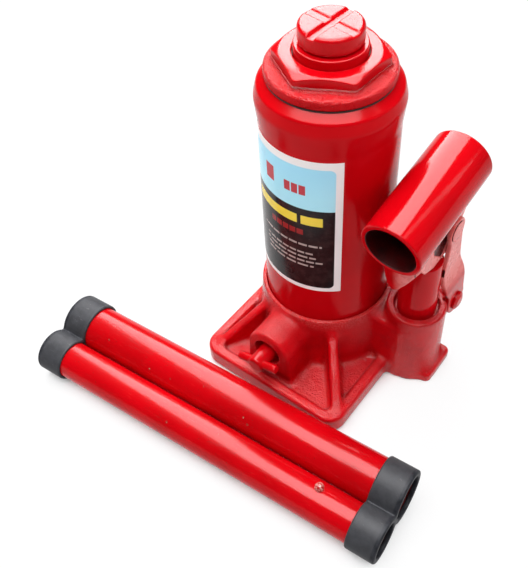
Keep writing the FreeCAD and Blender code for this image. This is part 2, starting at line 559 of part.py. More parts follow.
def reservoir_casing():
    bulge_r = CASING_R + SHOULDER_BULGE
    inner_r = CASING_R - CASING_WALL
    inner_bulge_r = bulge_r - LIP_THICKNESS
    rise = CASING_TOP - SHOULDER_Z
    run = bulge_r - LIP_OUTER_R
    diagonal = math.sqrt(0.5)
    outer_mid = (bulge_r - run * (1 - diagonal), SHOULDER_Z + rise * diagonal)
    inner_top = CASING_TOP - LIP_THICKNESS
    inner_run = inner_bulge_r - LIP_OUTER_R
    inner_mid = (inner_bulge_r - inner_run * (1 - diagonal),
                 SHOULDER_Z + (inner_top - SHOULDER_Z) * diagonal)
    edges = [line((CASING_R, CASING_BOTTOM), (CASING_R, SWAGE_Z)),
             line((CASING_R, SWAGE_Z), (bulge_r, SHOULDER_Z)),
             arc((bulge_r, SHOULDER_Z), outer_mid, (LIP_OUTER_R, CASING_TOP)),
             line((LIP_OUTER_R, CASING_TOP), (LIP_INNER_R, CASING_TOP)),
             line((LIP_INNER_R, CASING_TOP), (LIP_INNER_R, inner_top)),
             line((LIP_INNER_R, inner_top), (LIP_OUTER_R, inner_top)),
             arc((LIP_OUTER_R, inner_top), inner_mid, (inner_bulge_r, SHOULDER_Z)),
             line((inner_bulge_r, SHOULDER_Z), (inner_r, SWAGE_Z)),
             line((inner_r, SWAGE_Z), (inner_r, CASING_BOTTOM)),
             line((inner_r, CASING_BOTTOM), (CASING_R, CASING_BOTTOM))]
    shell = Part.Face(Part.Wire(edges)).revolve(V(0, 0, 0), V(0, 0, 1), 360)
    hole = rod_x(FILLER_R + BALL_ROOM, CASING_R / 2, 2 * CASING_R, 0, FILLER_Z)
    hole.rotate(V(0, 0, 0), V(0, 0, 1), FILLER_ANGLE)
    return shell.cut(hole)


export("reservoir_casing", reservoir_casing())
export("casing_gasket", tube(CASING_R, CASING_R - CASING_WALL, RESERVOIR_FLOOR, CASING_BOTTOM))
export("top_gasket", tube(LIP_OUTER_R, LIP_INNER_R, CASING_TOP, FLANGE_BOTTOM))


# ================================================================ top nut
def top_nut():
    turns = [math.radians(60 * k + NUT_ANGLE) for k in range(6)]
    corners = [(NUT_CORNER_R * math.cos(t), NUT_CORNER_R * math.sin(t), FLANGE_TOP) for t in turns]
    hexagon = face(corners).extrude(V(0, 0, NUT_HEIGHT))
    reach = NUT_CORNER_R + 1
    chamfer = (reach - NUT_FLAT_R) * math.tan(math.radians(NUT_CHAMFER_ANGLE))
    crown = spun([(0, FLANGE_TOP - 1), (reach, FLANGE_TOP - 1), (reach, NUT_TOP - chamfer),
                  (NUT_FLAT_R, NUT_TOP), (0, NUT_TOP)])
    hexagon = hexagon.common(crown)
    nut = fuse(hexagon, rod(FLANGE_R, FLANGE_BOTTOM, FLANGE_TOP),
               rod(SKIRT_R, FLANGE_BOTTOM - SKIRT_DEPTH, FLANGE_BOTTOM))
    nut = nut.cut(rod(RAM_R + RUN, FLANGE_BOTTOM - SKIRT_DEPTH - 1, NUT_TOP + 1))
    nut = nut.cut(rod(CYLINDER_R, FLANGE_BOTTOM - SKIRT_DEPTH - 1, CYLINDER_TOP))
    return nut.cut(rod(RAM_R + WIPER_DEPTH, WIPER_TOP - WIPER_HEIGHT, WIPER_TOP))


export("top_nut", top_nut())
export("wiper_seal", tube(RAM_R + WIPER_DEPTH, RAM_R + RUN, WIPER_TOP - WIPER_HEIGHT, WIPER_TOP))


# ================================================================ filler plug and label
def filler_plug():
    head = rod_x(FILLER_HEAD_R, CASING_R - 1, CASING_R + FILLER_HEAD_THICKNESS, 0, FILLER_Z)
    head = head.cut(rod(CASING_R + SEAT, FILLER_Z - 2 * FILLER_HEAD_R, FILLER_Z + 2 * FILLER_HEAD_R))
    stem = rod_x(FILLER_R, CASING_R - CASING_WALL - FILLER_DEPTH, CASING_R + SEAT + 1, 0, FILLER_Z)
    plug = fuse(head, stem)
    plug.rotate(V(0, 0, 0), V(0, 0, 1), FILLER_ANGLE)
    return plug


def label():
    sticker = tube(CASING_R + RUN + LABEL_THICKNESS, CASING_R + RUN, LABEL_BOTTOM, LABEL_TOP)
    reach = 2 * CASING_R
    sector = Part.makeCylinder(reach, LABEL_HEIGHT + 2, V(0, 0, LABEL_BOTTOM - 1), V(0, 0, 1),
                               LABEL_RIGHT_ANGLE - LABEL_LEFT_ANGLE)
    sector.rotate(V(0, 0, 0), V(0, 0, 1), LABEL_LEFT_ANGLE - 90)
    return sticker.common(sector)


export("filler_plug", filler_plug())
export("casing_label", label())

# ================================================================ pump
barrel = fuse(rod(BARREL_NECK_R, BARREL_BOTTOM, BARREL_SHOULDER, PUMP_X, PUMP_Y),
              rod(BARREL_R, BARREL_SHOULDER, BARREL_TOP, PUMP_X, PUMP_Y))
barrel = barrel.cut(rod(PLUNGER_R + RUN, BARREL_BOTTOM - 1, BARREL_TOP + 1, PUMP_X, PUMP_Y))
export("pump_barrel", barrel)
export("pump_washer", tube(WASHER_R, BARREL_NECK_R, RECESS_FLOOR, BARREL_SHOULDER, PUMP_X, PUMP_Y))


def plunger():
    head_bottom = PLUNGER_PIN_Z - PLUNGER_HEAD_DOWN
    shaft = rod(PLUNGER_R, PLUNGER_BOTTOM + CUP_HEIGHT, PLUNGER_PIN_Z + PLUNGER_HEAD_R,
                PUMP_X, PUMP_Y)
    spigot = rod(CUP_SPIGOT_R, PLUNGER_BOTTOM, PLUNGER_BOTTOM + CUP_HEIGHT, PUMP_X, PUMP_Y)
    keep = box(PUMP_X - PLUNGER_FLAT, PUMP_X + PLUNGER_FLAT, PUMP_Y - PLUNGER_R, PUMP_Y + PLUNGER_R,
               head_bottom, PLUNGER_PIN_Z)
    crown = rod_x(PLUNGER_HEAD_R, PUMP_X - PLUNGER_FLAT, PUMP_X + PLUNGER_FLAT, PUMP_Y,
                  PLUNGER_PIN_Z)
    lower = box(PUMP_X - PLUNGER_R, PUMP_X + PLUNGER_R, PUMP_Y - PLUNGER_R, PUMP_Y + PLUNGER_R,
                PLUNGER_BOTTOM, head_bottom)
    body = fuse(shaft, spigot).common(fuse(keep, crown, lower))

    # scallop at the back, where the link's upper pin comes down past the head
    scallop = box(PUMP_X - PLUNGER_R, PUMP_X + PLUNGER_R, PIN_LOW_Y - PIN_WAY_R, PUMP_Y + PIN_REACH,
                  PIN_LOW_Z, PLUNGER_PIN_Z)
    scallop = scallop.cut(rod_x(PLUNGER_HEAD_R, PUMP_X - BOSS_R, PUMP_X + BOSS_R, PUMP_Y, PLUNGER_PIN_Z))
    scallop = scallop.fuse(rod_x(PIN_WAY_R, PUMP_X - BOSS_R, PUMP_X + BOSS_R, PIN_LOW_Y, PIN_LOW_Z))
    body = body.cut(scallop)
    return body.cut(rod_x(PLUNGER_PIN_R, PUMP_X - BOSS_R, PUMP_X + BOSS_R, PUMP_Y, PLUNGER_PIN_Z))


export("plunger", plunger())
export("plunger_cup_seal", tube(PLUNGER_R, CUP_SPIGOT_R, PLUNGER_BOTTOM, PLUNGER_BOTTOM + CUP_HEIGHT,
                                PUMP_X, PUMP_Y))
export("plunger_pin", rod_x(PLUNGER_PIN_R, PUMP_X - CHEEK_OUT + SLACK, PUMP_X + CHEEK_OUT - SLACK,
                            PUMP_Y, PLUNGER_PIN_Z))


# ================================================================ handle socket
def upper_pin_in_socket_frame():
    dy = UPPER_PIN_Y - PUMP_Y
    dz = UPPER_PIN_Z - PLUNGER_PIN_Z
    tilt = math.radians(SOCKET_TILT)
    along = dy * math.cos(tilt) + dz * math.sin(tilt)
    above = -dy * math.sin(tilt) + dz * math.cos(tilt)
    return along, above


def socket_tube():
    pipe = rod_y(SOCKET_R, -SOCKET_FRONT, SOCKET_BACK, 0, SOCKET_RISE)
    return pipe.cut(rod_y(SOCKET_BORE_R, -SOCKET_FRONT - 1, SOCKET_BACK + 1, 0, SOCKET_RISE))


def socket_bracket():
    along, above = upper_pin_in_socket_frame()
    low = SOCKET_RISE - SOCKET_R
    outline = [(-CHEEK_FRONT, SOCKET_RISE), (-CHEEK_FRONT, low), (-CHEEK_MID, -CHEEK_EYE_R / 3),
               (-CHEEK_EYE_R / 2, -CHEEK_EYE_R), (along, above - CHEEK_EYE_R),
               (along + CHEEK_EYE_R * 0.8, above - CHEEK_EYE_R * 0.6),
               (CHEEK_BACK, low - CHEEK_SKIRT), (CHEEK_BACK, SOCKET_RISE)]
    cheeks = [plate_x(outline, CHEEK_IN, CHEEK_OUT), plate_x(outline, -CHEEK_OUT, -CHEEK_IN)]
    tongue_back = -TONGUE_FRONT + TONGUE_THICKNESS
    tip = rod_y(TONGUE_TIP_R, -TONGUE_FRONT, tongue_back, 0, -TONGUE_DROP + TONGUE_TIP_R)
    blade = face([(-TONGUE_WIDTH / 2, -TONGUE_FRONT, SOCKET_RISE),
                  (-TONGUE_WIDTH / 2, -TONGUE_FRONT, 0),
                  (-TONGUE_TIP_R, -TONGUE_FRONT, -TONGUE_DROP + TONGUE_TIP_R),
                  (TONGUE_TIP_R, -TONGUE_FRONT, -TONGUE_DROP + TONGUE_TIP_R),
                  (TONGUE_WIDTH / 2, -TONGUE_FRONT, 0),
                  (TONGUE_WIDTH / 2, -TONGUE_FRONT, SOCKET_RISE)])
    blade = blade.extrude(V(0, TONGUE_THICKNESS, 0))
    strap = box(-CHEEK_OUT, CHEEK_OUT, -TONGUE_FRONT, tongue_back, low - TONGUE_THICKNESS, SOCKET_RISE)
    bracket = fuse(cheeks[0], cheeks[1], tip, blade, strap)
    bracket = bracket.cut(rod_y(SOCKET_R, -2 * SOCKET_FRONT, 2 * SOCKET_BACK, 0, SOCKET_RISE))
    bracket = bracket.cut(rod_x(PLUNGER_PIN_R + RUN, -2 * CHEEK_OUT, 2 * CHEEK_OUT, 0, 0))
    return bracket.cut(rod_x(LINK_PIN_R, -2 * CHEEK_OUT, 2 * CHEEK_OUT, along, above))


export("socket_tube", place_socket(socket_tube()))
export("socket_bracket", place_socket(socket_bracket()))


def headed_pin(y, z):
    """A pin along X with a head on the right, long enough for a clip on the left."""
    tail = PUMP_X - LINK_OUT - SLACK - CLIP_THICKNESS - PIN_TAIL
    head_x = PUMP_X + LINK_OUT + SLACK
    shank = rod_x(LINK_PIN_R, tail, head_x, y, z)
    return fuse(shank, rod_x(PIN_HEAD_R, head_x, head_x + PIN_HEAD_THICKNESS, y, z))


def clip(y, z):
    x1 = PUMP_X - LINK_OUT - SLACK
    x0 = x1 - CLIP_THICKNESS
    return rod_x(CLIP_R, x0, x1, y, z).cut(rod_x(LINK_PIN_R, x0 - 1, x1 + 1, y, z))


def link(side):
    x0 = min(side * LINK_IN, side * LINK_OUT) + PUMP_X
    x1 = x0 + LINK_THICKNESS
    hole_y = UPPER_PIN_Y + LINK_SLOP_Y
    hole_z = UPPER_PIN_Z + LINK_SLOP_Z
    lean = math.atan2(hole_y - LOWER_PIN_Y, hole_z - LOWER_PIN_Z)
    front = []
    back = []
    for share, half in ((0, LINK_PADDLE), (LINK_PADDLE_SHARE, LINK_PADDLE),
                        (LINK_WAIST_SHARE, LINK_WAIST), (1, LINK_WAIST)):
        y = LOWER_PIN_Y + share * (hole_y - LOWER_PIN_Y)
        z = LOWER_PIN_Z + share * (hole_z - LOWER_PIN_Z)
        front.append((y - half * math.cos(lean), z + half * math.sin(lean)))
        back.append((y + half * math.cos(lean), z - half * math.sin(lean)))
    bar = plate_x(front + back[::-1], x0, x1)
    body = fuse(bar, rod_x(LINK_LOWER_R, x0, x1, LOWER_PIN_Y, LOWER_PIN_Z),
                rod_x(LINK_UPPER_R, x0, x1, hole_y, hole_z))
    body = body.cut(rod_x(LINK_PIN_R + RUN, x0 - 1, x1 + 1, LOWER_PIN_Y, LOWER_PIN_Z))
    return body.cut(rod_x(LINK_PIN_R + LINK_SLOP, x0 - 1, x1 + 1, hole_y, hole_z))


export("link_upper_pin", headed_pin(UPPER_PIN_Y, UPPER_PIN_Z))
export("link_upper_clip", clip(UPPER_PIN_Y, UPPER_PIN_Z))
export("link_lower_pin", headed_pin(LOWER_PIN_Y, LOWER_PIN_Z))
export("link_lower_clip", clip(LOWER_PIN_Y, LOWER_PIN_Z))
export("link_right", link(1))
export("link_left", link(-1))


# ================================================================ release valve
def release_stem():
    ring_front = -VALVE_RING_BACK - VALVE_RING_WIDTH
    stem = fuse(rod_y(VALVE_STEM_R, -VALVE_STEM_FRONT, -VALVE_STEM_BACK - SLACK, VALVE_X, VALVE_Z),
                rod_y(VALVE_NOSE_R, -VALVE_STEM_BACK - 1, -VALVE_STEM_BACK + VALVE_NOSE_LENGTH,
                      VALVE_X, VALVE_Z))
    groove = rod_y(VALVE_STEM_R + 1, ring_front, -VALVE_RING_BACK, VALVE_X, VALVE_Z)
    groove = groove.cut(rod_y(VALVE_STEM_R - VALVE_RING_DEPTH, ring_front - 1, -VALVE_RING_BACK + 1,
                              VALVE_X, VALVE_Z))
    return stem.cut(groove).cut(cross_pin_rod(CROSS_PIN_R, 1))


def cross_pin_rod(r, extra):
    length = 2 * (CROSS_PIN_HALF + extra)
    pin = Part.makeCylinder(r, length, V(-length / 2, 0, 0), V(1, 0, 0))
    pin.rotate(V(0, 0, 0), V(0, 1, 0), -CROSS_PIN_ANGLE)
    pin.translate(V(VALVE_X, -CROSS_PIN_Y, VALVE_Z))
    return pin


def release_ring():
    ring_front = -VALVE_RING_BACK - VALVE_RING_WIDTH
    outer = rod_y(VALVE_STEM_R, ring_front + SLACK, -VALVE_RING_BACK - SLACK, VALVE_X, VALVE_Z)
    inner = rod_y(VALVE_STEM_R - VALVE_RING_DEPTH + RUN, ring_front, -VALVE_RING_BACK,
                  VALVE_X, VALVE_Z)
    return outer.cut(inner)


export("release_stem", release_stem())
export("release_cross_pin", cross_pin_rod(CROSS_PIN_R, 0))
export("release_seal_ring", release_ring())
ball_y = -VALVE_STEM_BACK + VALVE_NOSE_LENGTH + RELEASE_BALL_R + SLACK
export("release_ball", Part.makeSphere(RELEASE_BALL_R - SLACK, V(VALVE_X, ball_y, VALVE_Z)))

# ================================================================ check and relief valves
export("suction_ball", Part.makeSphere(SUCTION_BALL_R, V(PUMP_X, PUMP_Y,
                                                       PUMP_BORE_BOTTOM - SUCTION_BALL_R)))
delivery_z = CYLINDER_SEAT - DELIVERY_POCKET + DELIVERY_BALL_R
export("delivery_ball", Part.makeSphere(DELIVERY_BALL_R, V(DELIVERY_X, PUMP_Y, delivery_z)))
relief_ball_z = RELIEF_SEAT_Z - RELIEF_BALL_R
export("relief_ball", Part.makeSphere(RELIEF_BALL_R, V(RELIEF_X, RELIEF_Y, relief_ball_z)))


def coil(r_mid, wire_r, length, turns):
    """A coil spring standing on the origin along +Z, its wire's centre line length tall."""
    pitch = length / turns
    helix = Part.makeHelix(pitch, length, r_mid)
    start = helix.Edges[0].valueAt(helix.Edges[0].FirstParameter)
    section = Part.Wire(Part.makeCircle(wire_r, start, V(0, 1, pitch / (2 * math.pi * r_mid))))
    return Part.Wire(helix.Edges).makePipeShell([section], True, True)


relief_spring = coil(RELIEF_SPRING_R, RELIEF_WIRE_R, RELIEF_SPRING_LENGTH, RELIEF_TURNS)
spring_top = relief_ball_z - RELIEF_BALL_R - RELIEF_WIRE_R
relief_spring.translate(V(RELIEF_X, RELIEF_Y, spring_top - RELIEF_SPRING_LENGTH))
export("relief_spring", relief_spring)
spring_foot = relief_ball_z - RELIEF_BALL_R - RELIEF_SPRING_LENGTH - 2 * RELIEF_WIRE_R
export("relief_screw", rod(RELIEF_BORE_R, PLUG_INSET, spring_foot, RELIEF_X, RELIEF_Y))
export("gallery_plug", rod(PLUG_R, PLUG_INSET, PLUG_INSET + PLUG_LENGTH, PUMP_X, PUMP_Y))


# ================================================================ handle tubes, caps and button
def along_x(r_out, r_in, x0, x1, y, z):
    return rod_x(r_out, x0, x1, y, z).cut(rod_x(r_in, x0 - 1, x1 + 1, y, z))


def twin_cap(x0, x1, lip_at):
    """Two rubber rings side by side, with an end wall at lip_at that stops the tubes."""
    outside = fuse(rod_x(BIG_TUBE_R + CAP_WALL, x0, x1, BIG_TUBE_Y, BIG_TUBE_Z),
                   rod_x(SMALL_TUBE_R + CAP_WALL, x0, x1, SMALL_TUBE_Y, SMALL_TUBE_Z))
    inner_x0 = x0 - 1 if lip_at == x1 else lip_at + CAP_LIP
    inner_x1 = x1 + 1 if lip_at == x0 else lip_at - CAP_LIP
    outside = outside.cut(rod_x(BIG_TUBE_R + RUN, inner_x0, inner_x1, BIG_TUBE_Y, BIG_TUBE_Z))
    outside = outside.cut(rod_x(SMALL_TUBE_R + RUN, inner_x0, inner_x1, SMALL_TUBE_Y, SMALL_TUBE_Z))
    outside = outside.cut(rod_x(BIG_TUBE_R - BIG_TUBE_WALL + CAP_MOUTH_EASE, x0 - 1, x1 + 1,
                                BIG_TUBE_Y, BIG_TUBE_Z))
    return outside.cut(rod_x(SMALL_TUBE_R - SMALL_TUBE_WALL + CAP_MOUTH_EASE, x0 - 1, x1 + 1,
                             SMALL_TUBE_Y, SMALL_TUBE_Z))


def button_axis():
    lean = math.radians(BUTTON_ANGLE)
    return V(0, math.sin(lean), math.cos(lean))


def button_rod(r, low, high):
    axis = button_axis()
    foot = V(TUBE_RIGHT - BUTTON_FROM_END, SMALL_TUBE_Y, SMALL_TUBE_Z) + axis * low
    return Part.makeCylinder(r, high - low, foot, axis)


def lock_button():
    inside = SMALL_TUBE_R - SMALL_TUBE_WALL
    shank = button_rod(BUTTON_R, inside - 2 * BUTTON_FLANGE, SMALL_TUBE_R + BUTTON_HEAD)
    rim = button_rod(BUTTON_R + BUTTON_FLANGE_STEP, inside - 3 * BUTTON_FLANGE, inside - 2 * BUTTON_FLANGE)
    hollow = button_rod(BUTTON_R - BUTTON_WALL, 0, SMALL_TUBE_R + BUTTON_HEAD - 2 * BUTTON_WALL)
    return fuse(shank, rim).cut(hollow)


def button_spring():
    """Stands on the far wall of the small tube, inside the hollow button."""
    inside = SMALL_TUBE_R - SMALL_TUBE_WALL
    r_mid = BUTTON_R - BUTTON_WALL - SEAT - BUTTON_SPRING_WIRE_R
    foot = -math.sqrt(inside ** 2 - r_mid ** 2) + BUTTON_SPRING_WIRE_R + RUN
    top = SMALL_TUBE_R + BUTTON_HEAD - 2 * BUTTON_WALL - BUTTON_TRAVEL - SEAT - BUTTON_SPRING_WIRE_R
    spring = coil(r_mid, BUTTON_SPRING_WIRE_R, top - foot, BUTTON_SPRING_TURNS)
    spring.translate(V(0, 0, foot))
    spring.rotate(V(0, 0, 0), V(1, 0, 0), -BUTTON_ANGLE)
    spring.translate(V(TUBE_RIGHT - BUTTON_FROM_END, SMALL_TUBE_Y, SMALL_TUBE_Z))
    return spring


small = along_x(SMALL_TUBE_R, SMALL_TUBE_R - SMALL_TUBE_WALL, TUBE_LEFT, TUBE_RIGHT,
                SMALL_TUBE_Y, SMALL_TUBE_Z)
small = small.cut(button_rod(BUTTON_R + RUN, 0, 2 * SMALL_TUBE_R))
big = along_x(BIG_TUBE_R, BIG_TUBE_R - BIG_TUBE_WALL, TUBE_LEFT, TUBE_RIGHT, BIG_TUBE_Y, BIG_TUBE_Z)
export("handle_large_tube", place_pack(big))
export("handle_small_tube", place_pack(small))
export("lock_button", place_pack(lock_button()))
export("lock_button_spring", place_pack(button_spring()))
export("twin_cap_left", place_pack(twin_cap(PACK_LEFT, PACK_LEFT + CAP_LENGTH, PACK_LEFT)))
export("twin_cap_right", place_pack(twin_cap(PACK_RIGHT - CAP_LENGTH, PACK_RIGHT, PACK_RIGHT)))
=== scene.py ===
import functools
import itertools
import math

import bpy
import numpy as np
from mathutils import Matrix, Vector


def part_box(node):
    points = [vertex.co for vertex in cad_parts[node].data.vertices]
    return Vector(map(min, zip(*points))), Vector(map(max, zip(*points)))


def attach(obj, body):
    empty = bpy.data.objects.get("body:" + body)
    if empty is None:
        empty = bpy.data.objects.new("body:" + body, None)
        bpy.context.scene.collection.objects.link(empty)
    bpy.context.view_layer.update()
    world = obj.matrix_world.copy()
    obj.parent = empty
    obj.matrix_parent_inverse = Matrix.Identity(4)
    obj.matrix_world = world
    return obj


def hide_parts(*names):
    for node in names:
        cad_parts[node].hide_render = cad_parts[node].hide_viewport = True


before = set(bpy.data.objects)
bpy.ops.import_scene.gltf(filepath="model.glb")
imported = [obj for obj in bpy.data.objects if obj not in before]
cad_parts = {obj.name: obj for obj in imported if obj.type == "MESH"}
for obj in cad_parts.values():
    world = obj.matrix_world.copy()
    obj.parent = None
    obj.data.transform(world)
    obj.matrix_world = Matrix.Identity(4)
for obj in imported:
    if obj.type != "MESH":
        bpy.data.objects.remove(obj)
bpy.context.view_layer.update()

MM = 0.001


# ------------------ sizes read from the frame, millimetres
def span(node):
    """Lowest and highest corner of a node."""
    low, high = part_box(node)
    return np.array(low) / MM, np.array(high) / MM


def middle(node):
    """The middle of a node's box."""
    low, high = span(node)
    return (low + high) / 2


def radius(node):
    """Half of a round node's width."""
    low, high = span(node)
    return (high[0] - low[0]) / 2


BASE_LOW, BASE_HIGH = span("base_casting")
CASING_LOW, CASING_HIGH = span("reservoir_casing")
NUT_LOW, NUT_HIGH = span("top_nut")
BARREL_LOW, BARREL_HIGH = span("pump_barrel")
WASHER_LOW, WASHER_HIGH = span("pump_washer")
PLUNGER_LOW, PLUNGER_HIGH = span("plunger")
STEM_LOW, STEM_HIGH = span("release_stem")
SCREW_LOW, SCREW_HIGH = span("extension_screw")
RAM_LOW, RAM_HIGH = span("ram")
LABEL_LOW, LABEL_HIGH = span("casing_label")

CASING_R = span("casing_gasket")[1][0]
WELL_FLOOR = span("casing_gasket")[0][2]
CYLINDER_R = span("pressure_cylinder")[1][0]
CYLINDER_SEAT = span("cylinder_seal")[0][2]
PUMP_X, PUMP_Y = middle("pump_barrel")[:2]
BARREL_R = radius("pump_barrel")
WASHER_R = radius("pump_washer")
PIN_Z = middle("plunger_pin")[2]
UPPER_PIN = middle("link_upper_pin")
LOWER_PIN = middle("link_lower_pin")
VALVE_X, VALVE_Z = middle("release_stem")[0], middle("release_stem")[2]
NUT_TOP = NUT_HIGH[2]
RAM_TOP = RAM_HIGH[2]
SADDLE_TOP = SCREW_HIGH[2]
SADDLE_R = SCREW_HIGH[0]
PISTON_R = RAM_HIGH[0]

# ------------------ sizes of this jack
# lengths in millimetres, turns and tilts in degrees
UP, ACROSS, ORIGIN = (0, 0, 1), (1, 0, 0), (0, 0, 0)
BEYOND = 90.0                                  # cuts that run out of the metal end here
BELOW = -4.0                                   # what stands on the ground starts here, and is cut level

# base casting
COLLAR_R = 37.5
COLLAR_FOOT_R = 40.3
COLLAR_TOP = 43.4
PLATE_RIGHT = 50.6
PLATE_CORNER = 10.0
RIM_TOP = 11.8
RIM_WIDTH = 6.5
POCKET_FLOOR = 9.0
RIB_WIDTH = 5.6
RIB_TOP = 34.0
RIB_SKEW = 2.4
BOSS_DEPTH = 20.0                              # bosses and webs start this far from the ram's axis
VALVE_FACE = -56.5
VALVE_BOSS_R = 13.9
VALVE_BOSS_FOOT = 15.6
VALVE_BOSS_SHIFT = 0.9
VALVE_RECESS_R = 8.2
VALVE_RECESS_DEPTH = 6.0
VALVE_BORE_END = -39.0
BOSS_R = 16.4
BOSS_TOP = BASE_HIGH[2]
BOSS_RECESS_R = 12.4
BOSS_RECESS_DEPTH = 3.0
BARREL_THREAD_END = 22.0
WEB_TOP = 42.0
FOOT_PAD_HEIGHT = 6.0
FOOT_PAD_FRONT, FOOT_PAD_BACK = -5.6, 20.6
LUG_HALF = 10.7
LUG_R = 7.6
LUG_FOOT = 18.5
LINK_ROOM = 30.0                               # the links have room to this far from the pump's axis
BALL_ROOM = 0.9
BALL_LIFT = 5.0
PLUG_BORE_R = 4.0
PLUG_BORE_END = 8.2
RELIEF_BORE_END = 25.0

# casing, nut, ram and saddle
CASING_BORE_R = 33.0
CASING_MOUTH_R = 28.3
CASING_LIP = 2.6
SHOULDER_DEPTH, SWAGE_DEPTH = 9.9, 23.2        # from the top, where the wall is widest and where it widens
FLANGE_R = 31.2
FLANGE_HEIGHT = 5.6
HEXAGON_HEIGHT = 6.9
NUT_FLAT_R = 24.2
NUT_TURN = 28.0
NUT_CHAMFER = 28.0
NUT_SEAT_DEPTH = 14.5
SKIRT_R = 27.6
RAM_R = 17.4
RAM_BORE_R = 14.2
RAM_RING_DEPTH = 18.0                          # the painted length at the top of the ram
RAM_BORE_FLOOR = RAM_LOW[2] + 28
SCREW_R = 12.0
THREAD_PITCH = 4.0
THREAD_DEPTH = 1.5
GROOVES = {87: (2.3, 1.7), -8: (2.4, 0.8)}     # turn: half width and depth
GROOVE_FLARE = 22.92

# pump, socket and links
BARREL_BORE_R = 7.15
PLUNGER_R = 7.0
PLUNGER_FOOT_R = 4.5
PLUNGER_FLAT = 6.3
PLUNGER_CROWN_R = 7.4
PLUNGER_PIN_R = 4.0
SOCKET_R = 16.2
SOCKET_BORE_R = 13.4
SOCKET_TILT = 9.55
SOCKET_RISE = 28.9
SOCKET_UNDER = SOCKET_RISE - SOCKET_R
SOCKET_FRONT = -32.6
SOCKET_BACK = 35.1
CHEEK_IN = 7.2
CHEEK_OUT = 8.7
SLOT_SKIN = 0.5
STRAP_HALF = 10.7
TONGUE_FRONT = -26.5
TONGUE_THICKNESS = 3.4
TONGUE_DROP = 15.0
LINK_PIN_R = 3.5
UPPER_HEAD, LOWER_HEAD = (0.5, 5.8), (2.2, 5.5)    # the pins' heads: thickness and radius
CLIP_R = 5.4
LINK_EYE_R = 8.5
LINK_IN = 8.9
LINK_THICKNESS = 2.7
LINK_JOGGLE = 2.7
LINK_PADDLE = 8.2
LINK_WAIST = 5.6
LINK_NARROWS = (0.36, 0.64)                    # shares of the length between which it narrows
LINK_CRANK = (0.26, 0.56)                      # and between which it is cranked inwards
LINK_HEAD_R = 7.0
LINK_HEAD_HOLE_R = 4.45
LINK_HEAD_SHIFT = (0.66, 0.31)                 # from the upper pin, back and up
LINK_FRONT_PITCH = 35.0
LINK_FRONT = [(-9, -9), (-9, 8.3), (6.0, 8.3), (10.5, 11.8), (14.7, 12.2), (21.4, 11.4), (28.0, 7.6),
              (34, 5.8), (44, 5.6), (44, -9)]

# release valve, handle tubes, caps and button
STEM_R = 5.0
STEM_TIP_R = 2.4
CROSS_PIN_R = 2.4
CROSS_PIN_LEAN = 14.0
FILLER_R = 6.8
FILLER_NECK_R = 4.0
FILLER_TURN = 112
PACK_YAW = 4.44
BIG_TUBE_R = 13.0
BIG_TUBE_BORE_R = 11.0
SMALL_TUBE_R = 10.6
SMALL_TUBE_BORE_R = 8.7
TUBE_LEFT = -119.0
TUBE_RIGHT = 94.8
CAP_WALL = 1.6
CAP_LIP = 2.6
CAP_LENGTH = 16.5
CAP_MOUTH_EASE = 0.4
BIG_TUBE_Y, BIG_TUBE_Z = -86.4, BIG_TUBE_R + CAP_WALL
SMALL_TUBE_Y, SMALL_TUBE_Z = -110.8, SMALL_TUBE_R + CAP_WALL
BUTTON_FROM_END = 35.8
BUTTON_LEAN = 12.0


# ------------------ shader expressions
class Wire:
    """An output of a shader node that Python's operators can work on."""

    def __init__(self, nodes, socket):
        self.nodes = nodes
        self.socket = socket

    def maths(self, operation, *others):
        return self.nodes.node("ShaderNodeMath", {"operation": operation},
                               dict(enumerate([self, *others])))

    def __add__(self, other):
        return self.maths("ADD", other)

    def __sub__(self, other):
        return self.maths("SUBTRACT", other)

    def __mul__(self, other):
        return self.maths("MULTIPLY", other)

    def __truediv__(self, other):
        return self.maths("DIVIDE", other)

    def __pow__(self, other):
        return self.maths("POWER", other)

    __radd__ = __add__
    __rmul__ = __mul__

    def __rsub__(self, other):
        return (self * -1) + other

    def __gt__(self, limit):
        return self.maths("GREATER_THAN", limit)

    def __lt__(self, limit):
        return self.maths("LESS_THAN", limit)

    def abs(self):
        return self.maths("ABSOLUTE")

    def most(self, other):
        return self.maths("MAXIMUM", other)

    def ramp(self, start, end, low=0.0, high=1.0):
        """Goes smoothly from low to high while this value goes from start to end."""
        return self.nodes.node("ShaderNodeMapRange", {"interpolation_type": "SMOOTHSTEP"},
                               {0: self, 1: start, 2: end, 3: low, 4: high})


class Nodes:
    """The shader nodes of a material or of the world."""

    def __init__(self, owner):
        owner.use_nodes = True
        self.owner = owner
        self.tree = owner.node_tree
        self.tree.nodes.clear()

    def node(self, kind, settings, values, output=0):
        """Makes any node: its type, its settings, the values or links of its sockets, the output wanted."""
        made = self.tree.nodes.new(kind)
        for key, value in settings.items():
            setattr(made, key, value)
        for key, value in values.items():
            if isinstance(value, Wire):
                self.tree.links.new(value.socket, made.inputs[key])
            else:
                made.inputs[key].default_value = value
        return Wire(self, made.outputs[output]) if len(made.outputs) else None

    def ray(self, kind):
        """1 for rays of one kind, such as Is Camera Ray."""
        return self.node("ShaderNodeLightPath", {}, {}, kind)


